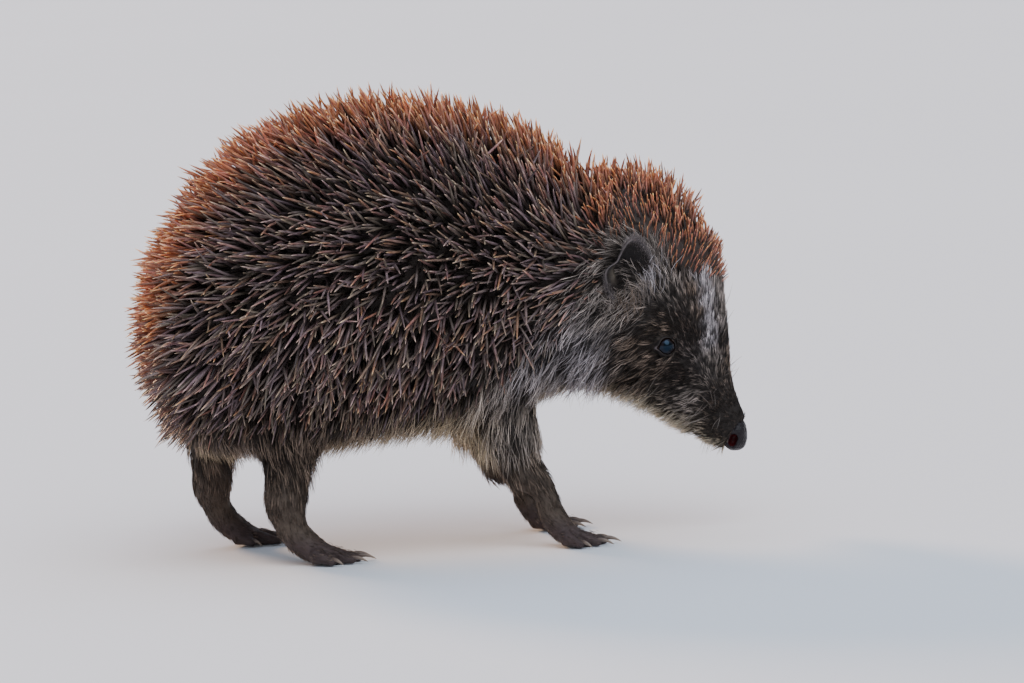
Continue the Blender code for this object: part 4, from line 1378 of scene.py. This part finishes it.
def spines_look(look):
    place = look.add("Math", {0: look.painted("along"), 1: look.scaled(look.painted("tone"), 0.02, 0.0)})
    # Spines painted with back light take the glowing orange bands instead of the plain ones.
    colour = look.mixed(look.painted("painted_backlight"), look.ramp(place, SPINE_COOL), look.ramp(place, SPINE_PAINTED_BACKLIGHT))
    hue = look.mixed(look.painted("hue"), (1.05, 0.95, 1.14), (0.98, 1.02, 0.84))
    colour = look.mixed(1.0, colour, hue, "MULTIPLY")
    # Tone darkens a spine's colour: at random, and as painted shade low on the flank.
    colour = look.dimmed(colour, look.scaled(look.painted("tone"), 0.28, 0.9))
    look.set(SHADER, Base_Color=colour, Roughness=0.4, Specular_IOR_Level=0.5,
             Normal=look.bump(look.noise(0.5), 0.25, 0.1))


def fur_look(look):
    colour = look.dimmed(look.painted("shade", "Color"), look.scaled(look.noise(2.5), 0.7, 0.65))
    look.set(SHADER, Base_Color=colour, Roughness=0.45, Specular_IOR_Level=0.22)


def skin_look(look):
    colour = look.dimmed(look.painted("shade", "Color"), look.scaled(look.noise(3.0, 6.0), 1.0, 0.5))
    look.set(SHADER, Base_Color=colour, Roughness=0.62, Specular_IOR_Level=0.22,
             Normal=look.bump(look.noise(0.6, 5.0), 0.7, 0.3))


def eye_look(look):
    colour = look.ramp(look.painted("tilt"), EYE_BANDS)
    # Its reflections are tinted blue: painted sky colour in what the eye reflects.
    look.set(SHADER, Base_Color=colour, Roughness=0.03, IOR=1.42, Specular_Tint=(0.38, 0.65, 1.0))


def nose_look(look):
    colour = look.mixed(look.noise(1.2), (0.005, 0.004, 0.005), (0.015, 0.011, 0.013))
    colour = look.mixed(look.painted("inside"), colour, (0.055, 0.006, 0.007))
    look.set(SHADER, Base_Color=colour, Roughness=0.34, Specular_IOR_Level=0.15, Coat_Weight=0.1,
             Coat_Roughness=0.2, Normal=look.bump(look.noise(0.7, 5.0), 1.0, 0.3))


def claw_look(look):
    colour = look.ramp(look.painted("along"), CLAW_HORN)
    colour = look.dimmed(colour, look.scaled(look.noise(0.8), 0.6, 0.7))
    look.set(SHADER, Base_Color=colour, Roughness=0.38, Normal=look.bump(look.noise(0.4), 0.3, 0.1))


def floor_look(look):
    colour = look.mixed(look.noise(900.0), (0.705, 0.73, 0.775), (0.735, 0.76, 0.805))
    look.set(SHADER, Base_Color=colour, Roughness=0.8)


LOOKS = {"spines": spines_look, "fur": fur_look, "skin": skin_look, "eye": eye_look, "nose": nose_look,
         "claw": claw_look, "floor": floor_look}


materials = {}


def material(name):
    """The material of a name, made when it is first asked for. The CAD nodes have others of these names."""
    if name not in materials:
        materials[name] = bpy.data.materials.new(name)
        materials[name].use_nodes = True
        LOOKS[name](Nodes(materials[name].node_tree))
    return materials[name]


# ---------------------------------------------------------------- studio

FLOOR_SIDES = 96
FLOOR_FIRST_RING = 20.0
FLOOR_RADIUS = 60000.0


def build_floor():
    """A plain floor that goes on out of sight."""
    turn = all_round(FLOOR_SIDES)
    radius = np.geomspace(FLOOR_FIRST_RING, FLOOR_RADIUS, 24)[:, None]
    points = np.stack([radius * np.cos(turn), radius * np.sin(turn), 0.0 * radius * turn], -1).reshape(-1, 3)
    middle = np.arange(FLOOR_SIDES)[None, :]
    piece = make_mesh("floor", points, [grid_faces(len(radius), FLOOR_SIDES)[:, ::-1], middle])
    piece.data.materials.append(material("floor"))


def sun_light(name, way, strength, width, colour):
    """Light from a long way off, which falls alike on the whole floor. The way is towards it."""
    data = bpy.data.lights.new(name, "SUN")
    data.energy = strength
    data.angle = math.radians(width)
    data.color = colour
    light = bpy.data.objects.new(name, data)
    light.location = Vector(way).normalized() * 2.0
    light.rotation_euler = Vector(way).to_track_quat("Z", "Y").to_euler()
    bpy.context.scene.collection.objects.link(light)


SKY = (  # sine of the height over the horizon, colour
    (0.0, (1.12, 1.11, 1.145)), (0.1, (1.12, 1.11, 1.145)), (0.2, (0.45, 0.47, 0.50)),
    (0.35, (0.30, 0.32, 0.36)), (0.58, (0.40, 0.45, 0.54)), (0.74, (1.05, 1.2, 1.45)),
    (1.0, (1.2, 1.35, 1.6)),
)


def build_lights():
    world = bpy.data.worlds.new("studio")
    world.use_nodes = True
    sky = Nodes(world.node_tree)
    height = sky.add("SeparateXYZ", {0: sky.add("TexCoord", {}, "Generated")}, "Z")
    sky.set("Background", Color=sky.ramp(height, SKY))
    bpy.context.scene.world = world
    sun_light("key", (-0.85, -0.3, 0.95), 1.75, 52.0, (0.93, 0.97, 1.0))
    sun_light("rim", (1.0, 0.75, 0.5), 4.0, 16.0, (1.0, 0.64, 0.40))


# The camera looks at the animal's right side from a little above, and is turned a little about its own
# line of sight.
CAMERA_ELEVATION = math.radians(6.0)
CAMERA_ROLL = math.radians(3.5)
CAMERA_DISTANCE = 1.5
CAMERA_AIM = (-1.2, 0.6247, 0.4319)  # millimetres across, then shares of the CAD box's length and height
CAMERA_LENS = 166.1
CAMERA_SENSOR = 36.0


def build_camera():
    data = bpy.data.cameras.new("camera")
    data.lens = CAMERA_LENS
    data.sensor_width = CAMERA_SENSOR
    camera = bpy.data.objects.new("camera", data)
    bpy.context.scene.collection.objects.link(camera)
    size = HIGH - LOW
    aim = Vector(at(size[1] * CAMERA_AIM[1], CAMERA_AIM[0], size[2] * CAMERA_AIM[2]) * MM)
    forward = Vector((math.cos(CAMERA_ELEVATION), 0.0, -math.sin(CAMERA_ELEVATION)))
    right = Vector((0.0, -1.0, 0.0))
    up = right.cross(forward)
    right = right * math.cos(CAMERA_ROLL) - up * math.sin(CAMERA_ROLL)
    up = right.cross(forward)
    turned = Matrix((right, up, -forward)).transposed()
    camera.matrix_world = Matrix.Translation(aim - forward * CAMERA_DISTANCE) @ turned.to_4x4()
    bpy.context.scene.camera = camera


# ---------------------------------------------------------------- the whole animal

ground = build_skin()
grow_spines(ground)
for pale, layer in ((False, "under"), (True, "over")):
    grow_hair(ground, f"fur_face_{layer}", lambda ahead, out, height: ahead > 163, pale)
    grow_hair(ground, f"fur_body_{layer}", lambda ahead, out, height: (ahead <= 163) & (height > 30), pale)
    grow_hair(ground, f"fur_legs_{layer}", lambda ahead, out, height: (ahead <= 163) & (height <= 30), pale)
grow_ear_hair(ground)
grow_whiskers(ground)
build_nose()
for side, sign in SIDES:
    build_eye(side, sign)
    for paw in ("fore", "hind"):
        build_claws(paw, side)
build_floor()
build_lights()
build_camera()
